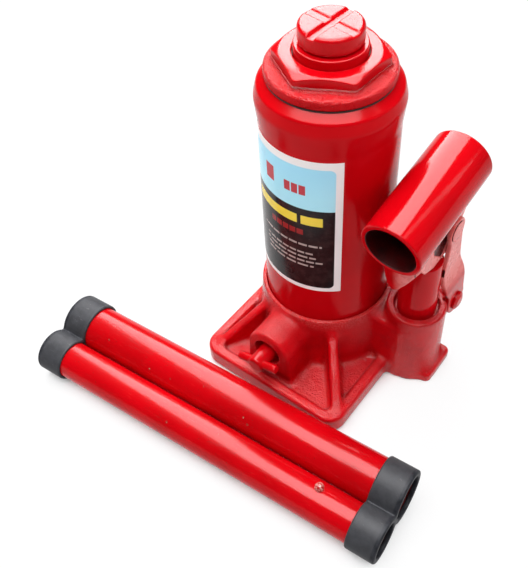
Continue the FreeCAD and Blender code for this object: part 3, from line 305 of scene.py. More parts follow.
class Finish(Nodes):
    """A material whose patterns are measured in millimetres."""

    def __init__(self, name):
        super().__init__(bpy.data.materials.new(name))
        spot = self.node("ShaderNodeTexCoord", {}, {}, "Object")
        self.place = self.node("ShaderNodeVectorMath", {"operation": "SCALE"}, {0: spot, "Scale": 1 / MM})

    def noise(self, size, detail=2.0, roughness=0.5, place=None):
        """Noise whose lumps are about size millimetres wide."""
        return self.node("ShaderNodeTexNoise", {}, {"Vector": place or self.place, "Scale": 1 / size,
                                                    "Detail": detail, "Roughness": roughness})

    def cells(self, size):
        """Distance to the nearest of many points, which are about size millimetres apart."""
        return self.node("ShaderNodeTexVoronoi", {}, {"Vector": self.place, "Scale": 1 / size}, "Distance")

    def stretched(self, x, y, z):
        """The place, multiplied along each axis, which draws a pattern out where the number is small."""
        return self.node("ShaderNodeVectorMath", {"operation": "MULTIPLY"}, {0: self.place, 1: (x, y, z)})

    def axis(self, letter):
        return self.node("ShaderNodeSeparateXYZ", {}, {0: self.place}, letter)

    def mark(self, name):
        """A value between 0 and 1 that the mesh carries, edge or hollow."""
        return self.node("ShaderNodeAttribute", {"attribute_name": name}, {}, "Fac")

    def mix(self, share, under, over):
        """A colour between two others."""
        under, over = [c if isinstance(c, Wire) else (*c, 1) for c in (under, over)]
        return self.node("ShaderNodeMix", {"data_type": "RGBA"}, {0: share, 6: under, 7: over}, 2)

    def bump(self, height, distance, under=None):
        """Height from 0 to 1 stands distance millimetres at most."""
        values = {"Height": height, "Strength": 1.0, "Distance": distance * MM}
        if under is not None:
            values["Normal"] = under
        return self.node("ShaderNodeBump", {}, values)

    def surface(self, **values):
        shader = self.node("ShaderNodeBsdfPrincipled", {},
                           {key.replace("_", " "): value for key, value in values.items()})
        self.node("ShaderNodeOutputMaterial", {}, {"Surface": shader})
        return self.owner

    def coat(self, colour, rough, level, sheen):
        """Paint, print or rubber, with its sheen from 0 to 1."""
        return self.surface(Base_Color=colour, Roughness=rough, IOR=1.5, Specular_IOR_Level=sheen,
                            Normal=level)

    def metal(self, colour, rough, level):
        return self.surface(Base_Color=colour, Metallic=1.0, Roughness=rough, Normal=level)


# ------------------ finishes
RED = (0.54, 0.0010, 0.0045)
RED_DEEP = (0.46, 0.0007, 0.0032)
CAST_RED = (0.58, 0.0010, 0.0050)
CAST_RED_DEEP = (0.46, 0.0008, 0.0036)
STEEL = (0.56, 0.55, 0.53)
CHROME = (0.34, 0.34, 0.35)
YELLOW = (0.88, 0.68, 0.07)
SHEEN = 0.13


def sheet_enamel(name, gloss, sheen=SHEEN):
    """Smooth sprayed enamel on drawn steel: faint orange peel and a few specks of dust."""
    f = Finish(name)
    drift = f.noise(38, 2)
    peel = f.noise(1.9, 2, 0.45)
    fine = f.noise(0.35, 1)
    speck = (f.cells(2.6) < 0.035) * (f.noise(9, 1) > 0.56)
    colour = f.mix(drift.ramp(0.35, 0.72), RED, RED_DEEP)
    colour = f.mix(speck * 0.35, colour, (0.90, 0.20, 0.18))
    level = f.bump(peel + fine * 0.10, 0.020)
    level = f.bump(speck, 0.05, level)
    return f.coat(colour, drift.ramp(0.3, 0.75, gloss, gloss + 0.06), level, sheen)


def cast_enamel(name, gloss, grain, smooth_above=1000.0, red=RED, deep=RED_DEEP, sheen=SHEEN):
    """Enamel over a sand casting: lumps, grain and pits under a glossy coat. Painted shade darkens its
    hollows and pits, and painted highlights run along its edges. Machined above a height.
    """
    f = Finish(name)
    rough = f.axis("Z").ramp(smooth_above + 0.4, smooth_above - 0.8, 0.12, 1.0)
    lumps = f.noise(4.2, 3, 0.55)
    sand = f.noise(0.85, 3, 0.62)
    pits = f.cells(1.9).ramp(0.0, 0.25)
    patch = f.noise(14, 2)
    colour = f.mix(patch.ramp(0.35, 0.7), red, deep)
    # painted shade: the hollows are painted darker, towards a near-black red
    colour = f.mix(f.mark("hollow").ramp(0.10, 0.55) * 0.6, colour, (0.20, 0.0005, 0.002))
    # painted highlight: the edges are painted pale pink where the sand grain is high, standing in for glints
    colour = f.mix(f.mark("edge").ramp(0.15, 0.6) * sand.ramp(0.40, 0.6, 0.0, 0.25), colour,
                   (0.86, 0.20, 0.19))
    # painted shade: the bottoms of the pits are painted darker
    colour = f.mix((1 - pits) * rough * 0.55, colour, (0.34, 0.0008, 0.002))
    dents = f.noise(2.2, 3, 0.65)
    level = f.bump(lumps * rough, 0.50 * grain)
    level = f.bump(dents * rough, 0.40 * grain, level)
    level = f.bump((sand + pits * 0.5) * rough, 0.40 * grain, level)
    return f.coat(colour, sand.ramp(0.25, 0.8, gloss, gloss + 0.06), level, sheen)


def pressed_enamel(name):
    """Enamel on the pressed links and bracket, with a pale painted highlight near the top of the right-hand
    parts and painted shade on the slot's floor.
    """
    f = Finish(name)
    x, z = f.axis("X"), f.axis("Z")
    drift = f.noise(9, 3, 0.6)
    peel = f.noise(1.7, 2)
    right = x.ramp(PUMP_X - 4, PUMP_X + 2)
    slot_floor = PUMP_X + CHEEK_IN + SLOT_SKIN
    # painted shade: the floor of the blind slot is painted nearly black, standing in for a hole in shadow
    painted_slot_shade = x.ramp(slot_floor + 0.3, slot_floor + 0.1) * right * (x > PUMP_X + CHEEK_IN + 0.3)
    # painted highlight: the right-hand parts are painted pale near the top, standing in for a sheen, and
    # their paint is made rougher there
    painted_sheen = z.ramp(LOWER_PIN[2] + 17, LOWER_PIN[2] + 27) * right * drift.ramp(0.25, 0.6, 0.55, 1.0)
    colour = f.mix(drift.ramp(0.35, 0.72), RED, RED_DEEP)
    colour = f.mix(painted_sheen * 0.85, colour, (0.86, 0.25, 0.23))
    colour = f.mix(painted_slot_shade, colour, (0.05, 0.0005, 0.001))
    return f.coat(colour, drift.ramp(0.3, 0.7, 0.14, 0.24) + painted_sheen * 0.1, f.bump(peel + drift * 0.6, 0.05),
                  0.20)


def tube_enamel(name):
    """Enamel on the handle tubes, with chips down to primer and steel and fine rubbing marks."""
    f = Finish(name)
    drift = f.noise(30, 2)
    peel = f.noise(1.7, 2)
    rub = f.noise(1.0, 2, 0.6, f.stretched(0.10, 1.2, 1.2))
    wanted = f.noise(17, 2, 0.5, f.stretched(1, 1, 0.6))
    chip_edge = f.noise(1.3, 3, 0.65)
    chip = ((f.cells(7.5) + chip_edge * 0.30) < 0.235) * (wanted > 0.57)
    speck = (f.cells(2.3) < 0.10) * (wanted > 0.46)
    scrape = f.noise(0.7, 3, 0.7, f.stretched(0.06, 1.3, 1.3)).ramp(0.56, 0.70) * (f.noise(13, 2) > 0.50)
    colour = f.mix(drift.ramp(0.35, 0.7), RED, RED_DEEP)
    colour = f.mix(rub.ramp(0.60, 0.85) * 0.25, colour, (0.80, 0.06, 0.05))
    colour = f.mix(scrape * 0.35, colour, (0.22, 0.010, 0.010))
    colour = f.mix(speck * 0.8, colour, (0.16, 0.020, 0.014))
    colour = f.mix(chip, colour, (0.30, 0.030, 0.020))
    colour = f.mix(chip * (chip_edge > 0.55), colour, (0.50, 0.36, 0.26))
    rough = drift.ramp(0.3, 0.7, 0.13, 0.19) + chip * 0.30 + scrape * 0.16
    level = f.bump(peel, 0.018)
    level = f.bump(1 - chip, 0.09, level)
    return f.coat(colour, rough, level, SHEEN)


def dark_bore(name):
    """Thin overspray over dark oily steel inside a tube, made nearly black as painted shade."""
    f = Finish(name)
    cloud = f.noise(9, 3, 0.6)
    streak = f.noise(1.4, 2, 0.6, f.stretched(0.12, 1, 1))
    # painted shade: the bore is coloured nearly black, standing in for the shade inside a tube
    colour = f.mix(cloud.ramp(0.35, 0.7), (0.060, 0.0015, 0.0020), (0.022, 0.003, 0.003))
    colour = f.mix(streak.ramp(0.55, 0.8) * 0.3, colour, (0.09, 0.012, 0.010))
    return f.coat(colour, cloud.ramp(0.3, 0.7, 0.30, 0.5), f.bump(streak + cloud, 0.06), 0.12)


def bare_steel(name, colour, rough, cloud):
    """Machined steel with its tool marks round an upright axis, and a film of oil."""
    f = Finish(name)
    marks = f.noise(0.9, 3, 0.7, f.stretched(0.15, 0.15, 6.0))
    film = f.noise(6, 2)
    shade = f.mix(film.ramp(0.35, 0.7), colour, tuple(c * (1 - 1.5 * cloud) for c in colour))
    shade = f.mix(marks.ramp(0.55, 0.85) * 0.4, shade, tuple(c * 0.6 for c in colour))
    return f.metal(shade, film.ramp(0.3, 0.7, rough, rough + cloud), f.bump(marks, 0.012))


def rubbed_paint(name):
    """Red paint rubbed through to pale metal in patches."""
    f = Finish(name)
    wear = f.noise(1.1, 3, 0.6)
    colour = f.mix(wear.ramp(0.42, 0.60), (0.40, 0.006, 0.008), (0.62, 0.30, 0.26))
    return f.coat(colour, wear.ramp(0.3, 0.7, 0.16, 0.34), f.bump(wear, 0.03), 0.5)


def black_rubber(name):
    """Moulded rubber of the caps: mottled sheen, mould grain and pale scuffs."""
    f = Finish(name)
    mottle = f.noise(3.2, 4, 0.6)
    grain = f.noise(0.45, 2)
    scuff = f.noise(2.6, 4, 0.7, f.stretched(0.5, 1.3, 1.3)).ramp(0.60, 0.74) * (f.noise(8, 1) > 0.52)
    colour = f.mix(mottle.ramp(0.3, 0.7), (0.018, 0.019, 0.023), (0.034, 0.035, 0.042))
    colour = f.mix(f.mark("edge").ramp(0.3, 0.9) * 0.35, colour, (0.11, 0.11, 0.115))
    colour = f.mix(scuff * 0.45, colour, (0.20, 0.20, 0.21))
    return f.coat(colour, mottle.ramp(0.3, 0.7, 0.38, 0.55), f.bump(grain * 0.5 + mottle, 0.05), 0.07)


def seal_rubber(name):
    """Dull black rubber of the seals."""
    f = Finish(name)
    cloud = f.noise(2.4, 3)
    colour = f.mix(cloud, (0.016, 0.015, 0.015), (0.034, 0.031, 0.030))
    return f.coat(colour, cloud.ramp(0.3, 0.7, 0.45, 0.62), f.bump(f.noise(0.3, 2), 0.015), 0.5)


def soft_copper(name):
    """Copper of the sealing washer, dulled in patches."""
    f = Finish(name)
    cloud = f.noise(3, 3)
    colour = f.mix(cloud, (0.72, 0.33, 0.18), (0.48, 0.19, 0.10))
    return f.metal(colour, cloud.ramp(0.3, 0.7, 0.26, 0.45), f.bump(f.noise(0.5, 2, 0.6), 0.012))


# places on the label, millimetres: heights, and lengths along the wall from the front of the casing
LABEL_RIGHT = 28.0
LABEL_LEFT = -60.2
PANEL_RIGHT = 24.3
PANEL_LEFT = LABEL_LEFT + LABEL_RIGHT - PANEL_RIGHT
PANEL_TOP = LABEL_HIGH[2] - 4.3
PANEL_LOW = LABEL_LOW[2] + 2.7
PANEL_CORNER = 3.0
BAND_LOW = 126.0

# rows of bars: left, right, low, high, the length of a bar with its gap, and the first one's shift
RED_ROWS = [(-15.0, -8.8, 135.2, 144.6, 40, 0), (-2.4, 9.8, 135.0, 141.0, 4.1, 2.6)]
YELLOW_ROWS = [(-27.0, 5.0, 115.6, 121.4, 37.0, 31.0), (7.0, 18.3, 115.6, 121.4, 37.0, 0.0)]
DARK_RED_ROWS = [(-11.8, 8.4, 108.0, 111.6, 4.2, 0.2)]
SMALL_ROWS = [(-19.0, 17.9, 100.4, 101.7, 5.6, 1.0), (-17.0, 13.9, 94.7, 95.85, 4.6, 0.5),
              (-17.0, 14.9, 91.6, 92.75, 6.3, 2.2), (-17.0, 18.4, 88.5, 89.65, 5.1, 1.4),
              (-17.0, 13.8, 85.4, 86.55, 6.9, 3.1)]


def label_vinyl(name):
    """Printed vinyl: white border, blue band over a black panel, and plain bars where print would be."""
    f = Finish(name)
    x, y, z = [f.axis(letter) for letter in "XYZ"]
    arc = x.maths("ARCTAN2", y * -1) * -LABEL_LOW[1]

    def panel(left, right, low, high, corner):
        """1 inside a rectangle with round corners."""
        across = ((arc - (left + right) / 2).abs() - ((right - left) / 2 - corner)).most(0)
        up = ((z - (low + high) / 2).abs() - ((high - low) / 2 - corner)).most(0)
        far = (across ** 2 + up ** 2) ** 0.5
        return far.ramp(corner + 0.12, corner - 0.12)

    def bars(rows):
        """1 on short bars, as long as words, in one or more rows."""
        found = []
        for left, right, low, high, length, shift in rows:
            gap = ((arc + shift) / length).maths("FRACT")
            found.append(panel(left, right, low, high, 0.4) * (gap > 0.16))
        return functools.reduce(Wire.most, found)

    mottle = f.noise(5, 3, 0.6)
    fine = f.noise(0.8, 3, 0.6)
    inner = panel(PANEL_LEFT, PANEL_RIGHT, PANEL_LOW, PANEL_TOP, PANEL_CORNER)
    band = z.ramp(BAND_LOW - 0.2, BAND_LOW + 0.2)
    blue = f.mix(z.ramp(BAND_LOW, PANEL_TOP), (0.45, 0.85, 0.98), (0.38, 0.77, 0.96))
    blue = f.mix(bars(RED_ROWS), blue, (0.52, 0.045, 0.060))
    black = f.mix(mottle.ramp(0.4, 0.75), (0.012, 0.009, 0.010), (0.030, 0.018, 0.018))
    black = f.mix(bars(SMALL_ROWS) * 0.8, black, (0.55, 0.45, 0.42))
    black = f.mix(bars(DARK_RED_ROWS) * 0.85, black, (0.36, 0.022, 0.022))
    black = f.mix(bars(YELLOW_ROWS), black, YELLOW)
    colour = f.mix(inner, (0.90, 0.87, 0.86), f.mix(band, black, blue))
    colour = f.mix(fine.ramp(0.62, 0.85) * 0.10, colour, (0.75, 0.72, 0.70))
    wrinkle = f.noise(11, 2, 0.5, f.stretched(1, 1, 0.35))
    return f.coat(colour, mottle.ramp(0.3, 0.7, 0.14, 0.22), f.bump(wrinkle + fine * 0.02, 0.05), SHEEN)


enamel = sheet_enamel("red_enamel_smooth", 0.07)
enamel_socket = sheet_enamel("red_enamel_socket", 0.08)
enamel_casing = sheet_enamel("red_enamel_casing", 0.14, 0.07)
enamel_cast = cast_enamel("red_enamel_cast", 0.06, 1.0, red=CAST_RED, deep=CAST_RED_DEEP, sheen=0.18)
enamel_machined = cast_enamel("red_enamel_machined", 0.10, 0.25)
enamel_nut = cast_enamel("red_enamel_nut", 0.07, 1.6, NUT_TOP - 5.2)
enamel_pressed = pressed_enamel("red_enamel_pressed")
enamel_tube = tube_enamel("red_enamel_handle")
bore_painted_shade = dark_bore("bore_overspray")
steel = bare_steel("bare_steel", STEEL, 0.28, 0.14)
worn_paint = rubbed_paint("rubbed_paint")
chrome = bare_steel("chrome_steel", CHROME, 0.16, 0.02)
rubber = black_rubber("black_rubber")
seal = seal_rubber("seal_rubber")
copper = soft_copper("copper")
vinyl = label_vinyl("label_vinyl")


# ------------------ pieces
def piece(name, corners, faces, body, finish, stands_for=(), normals=None, marks=None):
    """Makes one piece from corners in millimetres and lets it ride on its body."""
    mesh = bpy.data.meshes.new(name)
    mesh.from_pydata((np.asarray(corners) * MM).tolist(), [], [list(map(int, f)) for f in faces])
    mesh.validate()
    for key, values in (marks or {}).items():
        attribute = mesh.attributes.new(key, "FLOAT", "POINT")
        attribute.data.foreach_set("value", np.asarray(values, np.float32))
    mesh.polygons.foreach_set("use_smooth", [True] * len(mesh.polygons))
    if normals is not None:
        mesh.normals_split_custom_set_from_vertices(normals.tolist())
    for one in finish if isinstance(finish, list) else [finish]:
        mesh.materials.append(one)
    made = bpy.data.objects.new(name, mesh)
    bpy.context.scene.collection.objects.link(made)
    if stands_for:
        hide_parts(*stands_for)
    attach(made, body)
    return made


# ---- turned pieces
def softened(outline, smooth=6):
    """Rounds the corners of a closed outline of (radius, height, round) and gives its normals."""
    area = sum(p[0] * q[1] - q[0] * p[1] for p, q in zip(outline, outline[1:] + outline[:1]))
    outline = outline if area > 0 else outline[::-1]
    points, normals = [], []
    count = len(outline)
    for k in range(count):
        here = np.array(outline[k][:2], float)
        before = np.array(outline[k - 1][:2], float) - here
        after = np.array(outline[(k + 1) % count][:2], float) - here
        size = outline[k][2] if len(outline[k]) > 2 else 0.0
        a, b = before / np.linalg.norm(before), after / np.linalg.norm(after)
        left = np.array([-a[1], a[0]])
        right = np.array([b[1], -b[0]])
        half = math.acos(float(np.clip(a @ b, -1, 1))) / 2
        if size <= 0 or half > math.radians(89):
            points += [here, here]
            normals += [left, right]
            continue
        back = size / math.tan(half)
        start, end = here + a * back, here + b * back
        centre = here + (a + b) / np.linalg.norm(a + b) * (size / math.sin(half))
        outward = 1 if (start - centre) @ left > 0 else -1
        for step in range(smooth + 1):
            t = step / smooth
            ray = (start - centre) * (1 - t) + (end - centre) * t
            ray = ray / np.linalg.norm(ray)
            points.append(centre + ray * size)
            normals.append(ray * outward)
    return np.array(points), np.array(normals)


def turned(name, outline, centre, axis, body, finish, stands_for=(), segments=128, smooth=6,
           lining=0.0):
    """Spins a closed outline of (radius, height, round) about an axis. Faces inside lining get finish 2."""
    points, normals = softened(outline, smooth)
    axis = np.array(axis, float) / np.linalg.norm(axis)
    side = np.cross(axis, (0.3, 0.5, 0.81) if abs(axis[2]) < 0.9 else (0, 1, 0))
    side /= np.linalg.norm(side)
    other = np.cross(axis, side)
    turns = np.linspace(0, 2 * math.pi, segments, endpoint=False)
    rays = np.cos(turns)[:, None] * side + np.sin(turns)[:, None] * other

    def spun(pairs):
        """Each (outwards, along) pair, carried round the axis."""
        return pairs[:, 1][:, None, None] * axis + pairs[:, 0][:, None, None] * rays[None]

    corners = (np.array(centre, float) + spun(points)).reshape(-1, 3)
    rings = len(points)
    faces, inner = [], []
    for k in range(rings):
        after = (k + 1) % rings
        if np.allclose(points[k], points[after], atol=1e-7) or max(points[k][0], points[after][0]) < 1e-6:
            continue
        for s in range(segments):
            t = (s + 1) % segments
            quad = [k * segments + s, k * segments + t, after * segments + t, after * segments + s]
            if points[k][0] < 1e-6:
                quad = quad[1:]
            elif points[after][0] < 1e-6:
                quad = quad[:3]
            faces.append(quad)
            inner.append(int(max(points[k][0], points[after][0]) < lining))
    made = piece(name, corners, faces, body, finish, stands_for, spun(normals).reshape(-1, 3))
    made.data.polygons.foreach_set("material_index", inner)
    return made


def ring_outline(outer, inner, low, high, edge, inner_edge=None):
    """The outline of a tube, softened at its rims."""
    inner_edge = edge if inner_edge is None else inner_edge
    return [(outer, low, edge), (outer, high, edge), (inner, high, inner_edge), (inner, low, inner_edge)]


# ---- cast, forged and moulded pieces, as distance fields
def join(a, b, soft):
    """Two shapes as one, with a fillet about soft wide where they meet."""
    blend = np.maximum(soft - np.abs(a - b), 0) / soft
    return np.minimum(a, b) - blend * blend * soft / 4


def common(a, b, soft):
    """What two shapes share."""
    return -join(-a, -b, soft)


def carve(a, b, soft):
    """The first shape without the second."""
    return -join(-a, b, soft)


def prism(flat, along, low, high, edge):
    """A flat outline, given as a distance, pulled from low to high with soft edges."""
    out = flat + edge
    up = np.abs(along - (low + high) / 2) - (high - low) / 2 + edge
    return np.hypot(np.maximum(out, 0), np.maximum(up, 0)) + np.minimum(np.maximum(out, up), 0) - edge


def oblong(u, v, left, right, low, high, corner):
    """Distance to a flat rectangle with round corners."""
    du = np.abs(u - (left + right) / 2) - (right - left) / 2 + corner
    dv = np.abs(v - (low + high) / 2) - (high - low) / 2 + corner
    return np.hypot(np.maximum(du, 0), np.maximum(dv, 0)) + np.minimum(np.maximum(du, dv), 0) - corner


def polygon(u, v, outline):
    """Distance to a flat closed outline."""
    nearest = np.full(np.shape(u), 1e9)
    inside = np.zeros(np.shape(u), bool)
    for (u0, v0), (u1, v1) in zip(outline, outline[1:] + outline[:1]):
        eu, ev = u1 - u0, v1 - v0
        t = np.clip(((u - u0) * eu + (v - v0) * ev) / (eu * eu + ev * ev), 0, 1)
        nearest = np.minimum(nearest, np.hypot(u - u0 - t * eu, v - v0 - t * ev))
        crosses = (v0 > v) != (v1 > v)
        if v1 != v0:
            inside ^= crosses & (u < (u1 - u0) * (v - v0) / (v1 - v0) + u0)
    return np.where(inside, -nearest, nearest)


def gradient(shape, points, reach):
    """How fast a distance grows along each axis."""
    found = np.empty_like(points)
    for axis in range(3):
        shift = np.zeros(3)
        shift[axis] = reach
        ahead, behind = points + shift, points - shift
        found[:, axis] = (shape(*ahead.T) - shape(*behind.T)) / (2 * reach)
    return found


def net(field):
    """A net round the samples below 0: its corners, counted in samples, and its faces."""
    count = np.array(field.shape) - 1
    corners = list(itertools.product((0, 1), repeat=3))

    def shifted(corner):
        i, j, k = corner
        return field[i:i + count[0], j:j + count[1], k:k + count[2]]

    inside = np.stack([shifted(c) < 0 for c in corners])
    mixed = inside.any(0) & ~inside.all(0)
    cells = np.argwhere(mixed)
    ids = np.full(mixed.shape, -1)
    ids[mixed] = np.arange(len(cells))
    total, hits = np.zeros((len(cells), 3)), np.zeros(len(cells))
    for corner in corners:
        for axis in range(3):
            if corner[axis]:
                continue
            end = list(corner)
            end[axis] = 1
            fa, fb = shifted(corner)[mixed], shifted(end)[mixed]
            cut = (fa < 0) != (fb < 0)
            share = np.where(cut, fa / np.where(cut, fa - fb, 1), 0)
            spot = np.array(corner, float)[None] + share[:, None] * np.eye(3)[axis][None]
            total += spot * cut[:, None]
            hits += cut
    faces = []
    for axis in range(3):
        u, v = (axis + 1) % 3, (axis + 2) % 3
        near, far = [np.delete(field < 0, end, axis) for end in (-1, 0)]
        edges = np.argwhere(near != far)
        inner = (edges[:, u] > 0) & (edges[:, u] < count[u]) & (edges[:, v] > 0) & (edges[:, v] < count[v])
        edges = edges[inner]
        eu, ev = np.eye(3, dtype=int)[u], np.eye(3, dtype=int)[v]
        ring = [edges - eu - ev, edges - ev, edges, edges - eu]
        quads = np.stack([ids[tuple(r.T)] for r in ring], 1)
        starts_inside = near[tuple(edges.T)]
        quads[~starts_inside] = quads[~starts_inside][:, ::-1]
        faces.append(quads)
    return cells + total / hits[:, None], np.concatenate(faces)


def shaped(name, shape, low, high, step, body, finish, stands_for=(), wear=1.6):
    """Makes a piece of a distance field, taken every step. It marks edges and hollows wear deep, which the
    finishes use for painted highlights on edges, painted shade in hollows and pale rubber edges.
    """
    axes = [np.arange(a, b + step, step) for a, b in zip(low, high)]
    points, faces = net(shape(*np.meshgrid(*axes, indexing="ij")))
    points = np.array(low) + points * step
    for _ in range(3):
        slope = gradient(shape, points, step * 0.2)
        size = np.maximum((slope ** 2).sum(1), 0.25)
        move = -shape(*points.T)[:, None] * slope / size[:, None]
        points += np.clip(move, -0.6 * step, 0.6 * step)
    slope = gradient(shape, points, step * 0.45)
    normals = slope / np.maximum(np.linalg.norm(slope, axis=1), 1e-9)[:, None]
    marks = {"edge": np.clip(1 + shape(*(points - normals * wear).T) / wear, 0, 1),
             "hollow": np.clip(1 - shape(*(points + normals * wear).T) / wear, 0, 1)}
    return piece(name, points, faces, body, finish, stands_for, normals, marks)


# ------------------ base casting
def valve_boss(x, y, z):
    """The arched boss of the release valve."""
    boss_x, boss_z = VALVE_X + VALVE_BOSS_SHIFT, VALVE_Z + VALVE_BOSS_SHIFT
    low_width = VALVE_BOSS_R + (VALVE_BOSS_FOOT - VALVE_BOSS_R) * np.clip((boss_z - z) / boss_z, 0, 1)
    arch = np.where(z > boss_z, np.hypot(x - boss_x, z - boss_z) - VALVE_BOSS_R,
                    np.abs(x - boss_x) - low_width)
    return prism(arch, y, VALVE_FACE, -BOSS_DEPTH, 1.8)


def corner_ribs(x, y, z):
    """Ribs that run down to the four corners."""
    ribs = np.full(np.shape(x), 1e9)
    for right in (False, True):
        for front in (False, True):
            reach_x = PLATE_RIGHT - RIM_WIDTH if right else BASE_LOW[0] + RIM_WIDTH
            reach_y = BASE_LOW[1] + RIM_WIDTH if front else BASE_HIGH[1] - RIM_WIDTH
            reach = math.hypot(reach_x, reach_y)
            turn = math.atan2(reach_y, reach_x) + (math.radians(RIB_SKEW) if right and front else 0)
            cos, sin = math.cos(turn), math.sin(turn)
            along, across = x * cos + y * sin, -x * sin + y * cos
            top = polygon(along, z, [(CASING_R - 4, 0), (reach - 1.5, 0), (reach - 1.5, RIM_TOP + 0.4),
                                     (COLLAR_R + 1.5, RIB_TOP), (CASING_R - 4, RIB_TOP + 2)])
            ribs = np.minimum(ribs, prism(top, across, -RIB_WIDTH / 2, RIB_WIDTH / 2, 1.9))
    return ribs


def pump_boss(x, y, z):
    """The boss of the pump with its web, its foot and the lug behind it."""
    boss = prism(np.hypot(x - PUMP_X, y - PUMP_Y) - BOSS_R, z, 0, BOSS_TOP, 1.3)
    web = prism(oblong(x, y, BOSS_DEPTH, PUMP_X, PUMP_Y - BOSS_R, PUMP_Y + BOSS_R, 1), z, 0, WEB_TOP, 2.2)
    foot = prism(oblong(x, y, PUMP_X, BASE_HIGH[0], FOOT_PAD_FRONT, FOOT_PAD_BACK, 3.5),
                 z, BELOW, FOOT_PAD_HEIGHT, 1.6)
    eye_y, eye_z = LOWER_PIN[1:]
    lug = polygon(y, z, [(PUMP_Y, BELOW), (PUMP_Y + LUG_FOOT, BELOW), (PUMP_Y + LUG_FOOT, eye_z - 15.5),
                         (eye_y + LUG_R, eye_z - 3), (eye_y + LUG_R, eye_z), (PUMP_Y, eye_z)])
    lug = np.minimum(lug, np.hypot(y - eye_y, z - eye_z) - LUG_R)
    lug = prism(lug, x, PUMP_X - LUG_HALF, PUMP_X + LUG_HALF, 0.9)
    pump = join(join(boss, web, 3.0), foot, 3.0)
    return join(pump, lug, 2.0)


def base_shape(x, y, z):
    """The whole casting: plate, collar, ribs and bosses, with its pockets and bores."""
    plate = prism(oblong(x, y, BASE_LOW[0], PLATE_RIGHT, BASE_LOW[1], BASE_HIGH[1], PLATE_CORNER),
                  z, 0, RIM_TOP, 2.4)
    pocket = prism(oblong(x, y, BASE_LOW[0] + RIM_WIDTH, PLATE_RIGHT - RIM_WIDTH,
                          BASE_LOW[1] + RIM_WIDTH, BASE_HIGH[1] - RIM_WIDTH, PLATE_CORNER - RIM_WIDTH / 2),
                   z, POCKET_FLOOR, RIM_TOP + 8, 0.5)
    body = carve(plate, pocket, 2.6)
    out = np.hypot(x, y)
    taper = (COLLAR_FOOT_R - COLLAR_R) / (COLLAR_TOP - POCKET_FLOOR)
    wall = out - COLLAR_FOOT_R + np.maximum(z - POCKET_FLOOR, 0) * taper
    body = join(body, prism(wall, z, 0, COLLAR_TOP, 0.9), 5.0)
    body = join(body, corner_ribs(x, y, z), 4.0)
    body = join(body, valve_boss(x, y, z), 4.5)
    body = join(body, pump_boss(x, y, z), 4.0)

    # room for the links beside the lug
    beside = prism(oblong(y, z, LOWER_PIN[1] - LINK_EYE_R - 1.6, BEYOND,
                          LOWER_PIN[2] - LINK_EYE_R - 1.0, BEYOND, 2),
                   np.abs(x - PUMP_X), LUG_HALF, LINK_ROOM, 0.3)
    body = carve(body, beside, 0.6)

    # well of the reservoir, seat of the cylinder and the bores: distance, along what, from, to, edge, lip
    round_pump = np.hypot(x - PUMP_X, y - PUMP_Y)
    round_valve = np.hypot(x - VALVE_X, z - VALVE_Z)
    bores = [(out - CASING_R - 0.3, z, WELL_FLOOR, BEYOND, 0.2, 0.5),
             (out - CYLINDER_R, z, CYLINDER_SEAT, BEYOND, 0.2, 0.3),
             (round_pump - BOSS_RECESS_R, z, BOSS_TOP - BOSS_RECESS_DEPTH, BEYOND, 0.2, 0.8),
             (round_pump - BARREL_R + 1, z, BARREL_THREAD_END, BEYOND, 0.2, 0.3),
             (round_valve - VALVE_RECESS_R, y, -BEYOND, VALVE_FACE + VALVE_RECESS_DEPTH, 0.6, 1.1),
             (round_valve - STEM_R - 0.15, y, -BEYOND, VALVE_BORE_END, 0.3, 0.5),
             (round_pump - PLUG_BORE_R, z, BELOW, PLUG_BORE_END, 0.2, 0.5)]
    for ball in ("suction_ball", "delivery_ball"):
        low, high = span(ball)
        ball_x, ball_y = middle(ball)[:2]
        bores.append((np.hypot(x - ball_x, y - ball_y) - radius(ball) - BALL_ROOM, z,
                      low[2] - BALL_ROOM, high[2] + BALL_LIFT, 0.2, 0.2))
    relief_x, relief_y = middle("relief_screw")[:2]
    bores.append((np.hypot(x - relief_x, y - relief_y) - PLUG_BORE_R, z, BELOW, RELIEF_BORE_END, 0.2, 0.5))
    for distance, along, low, high, edge, lip in bores:
        body = carve(body, prism(distance, along, low, high, edge), lip)
    return np.maximum(common(body, -z, 1.0), y - BASE_HIGH[1])


shaped("jack_base", base_shape, BASE_LOW - 1.6, BASE_HIGH + 1.6, 0.8, "base", enamel_cast,
       ["base_casting"])

# ------------------ casing, nut, ram and saddle
bulge, casing_top = CASING_HIGH[0], CASING_HIGH[2]
shoulder, swage = casing_top - SHOULDER_DEPTH, casing_top - SWAGE_DEPTH
turned("reservoir_wall",
       [(CASING_R, CASING_LOW[2], 0.3), (CASING_R, swage, 30.0), (bulge, shoulder, 9.0),
        (bulge - 1.6, casing_top - 3.4, 2.6), (CASING_MOUTH_R + 1.9, casing_top, 0.9),
        (CASING_MOUTH_R, casing_top, 0.3), (CASING_MOUTH_R, casing_top - CASING_LIP, 0.2),
        (CASING_MOUTH_R + 2.3, casing_top - CASING_LIP, 1), (CASING_BORE_R + 0.6, shoulder, 3.0),
        (CASING_BORE_R, swage, 10.0), (CASING_BORE_R, CASING_LOW[2], 0.2)],
       ORIGIN, UP, "base", enamel_casing, ["reservoir_casing"], 192, 10)


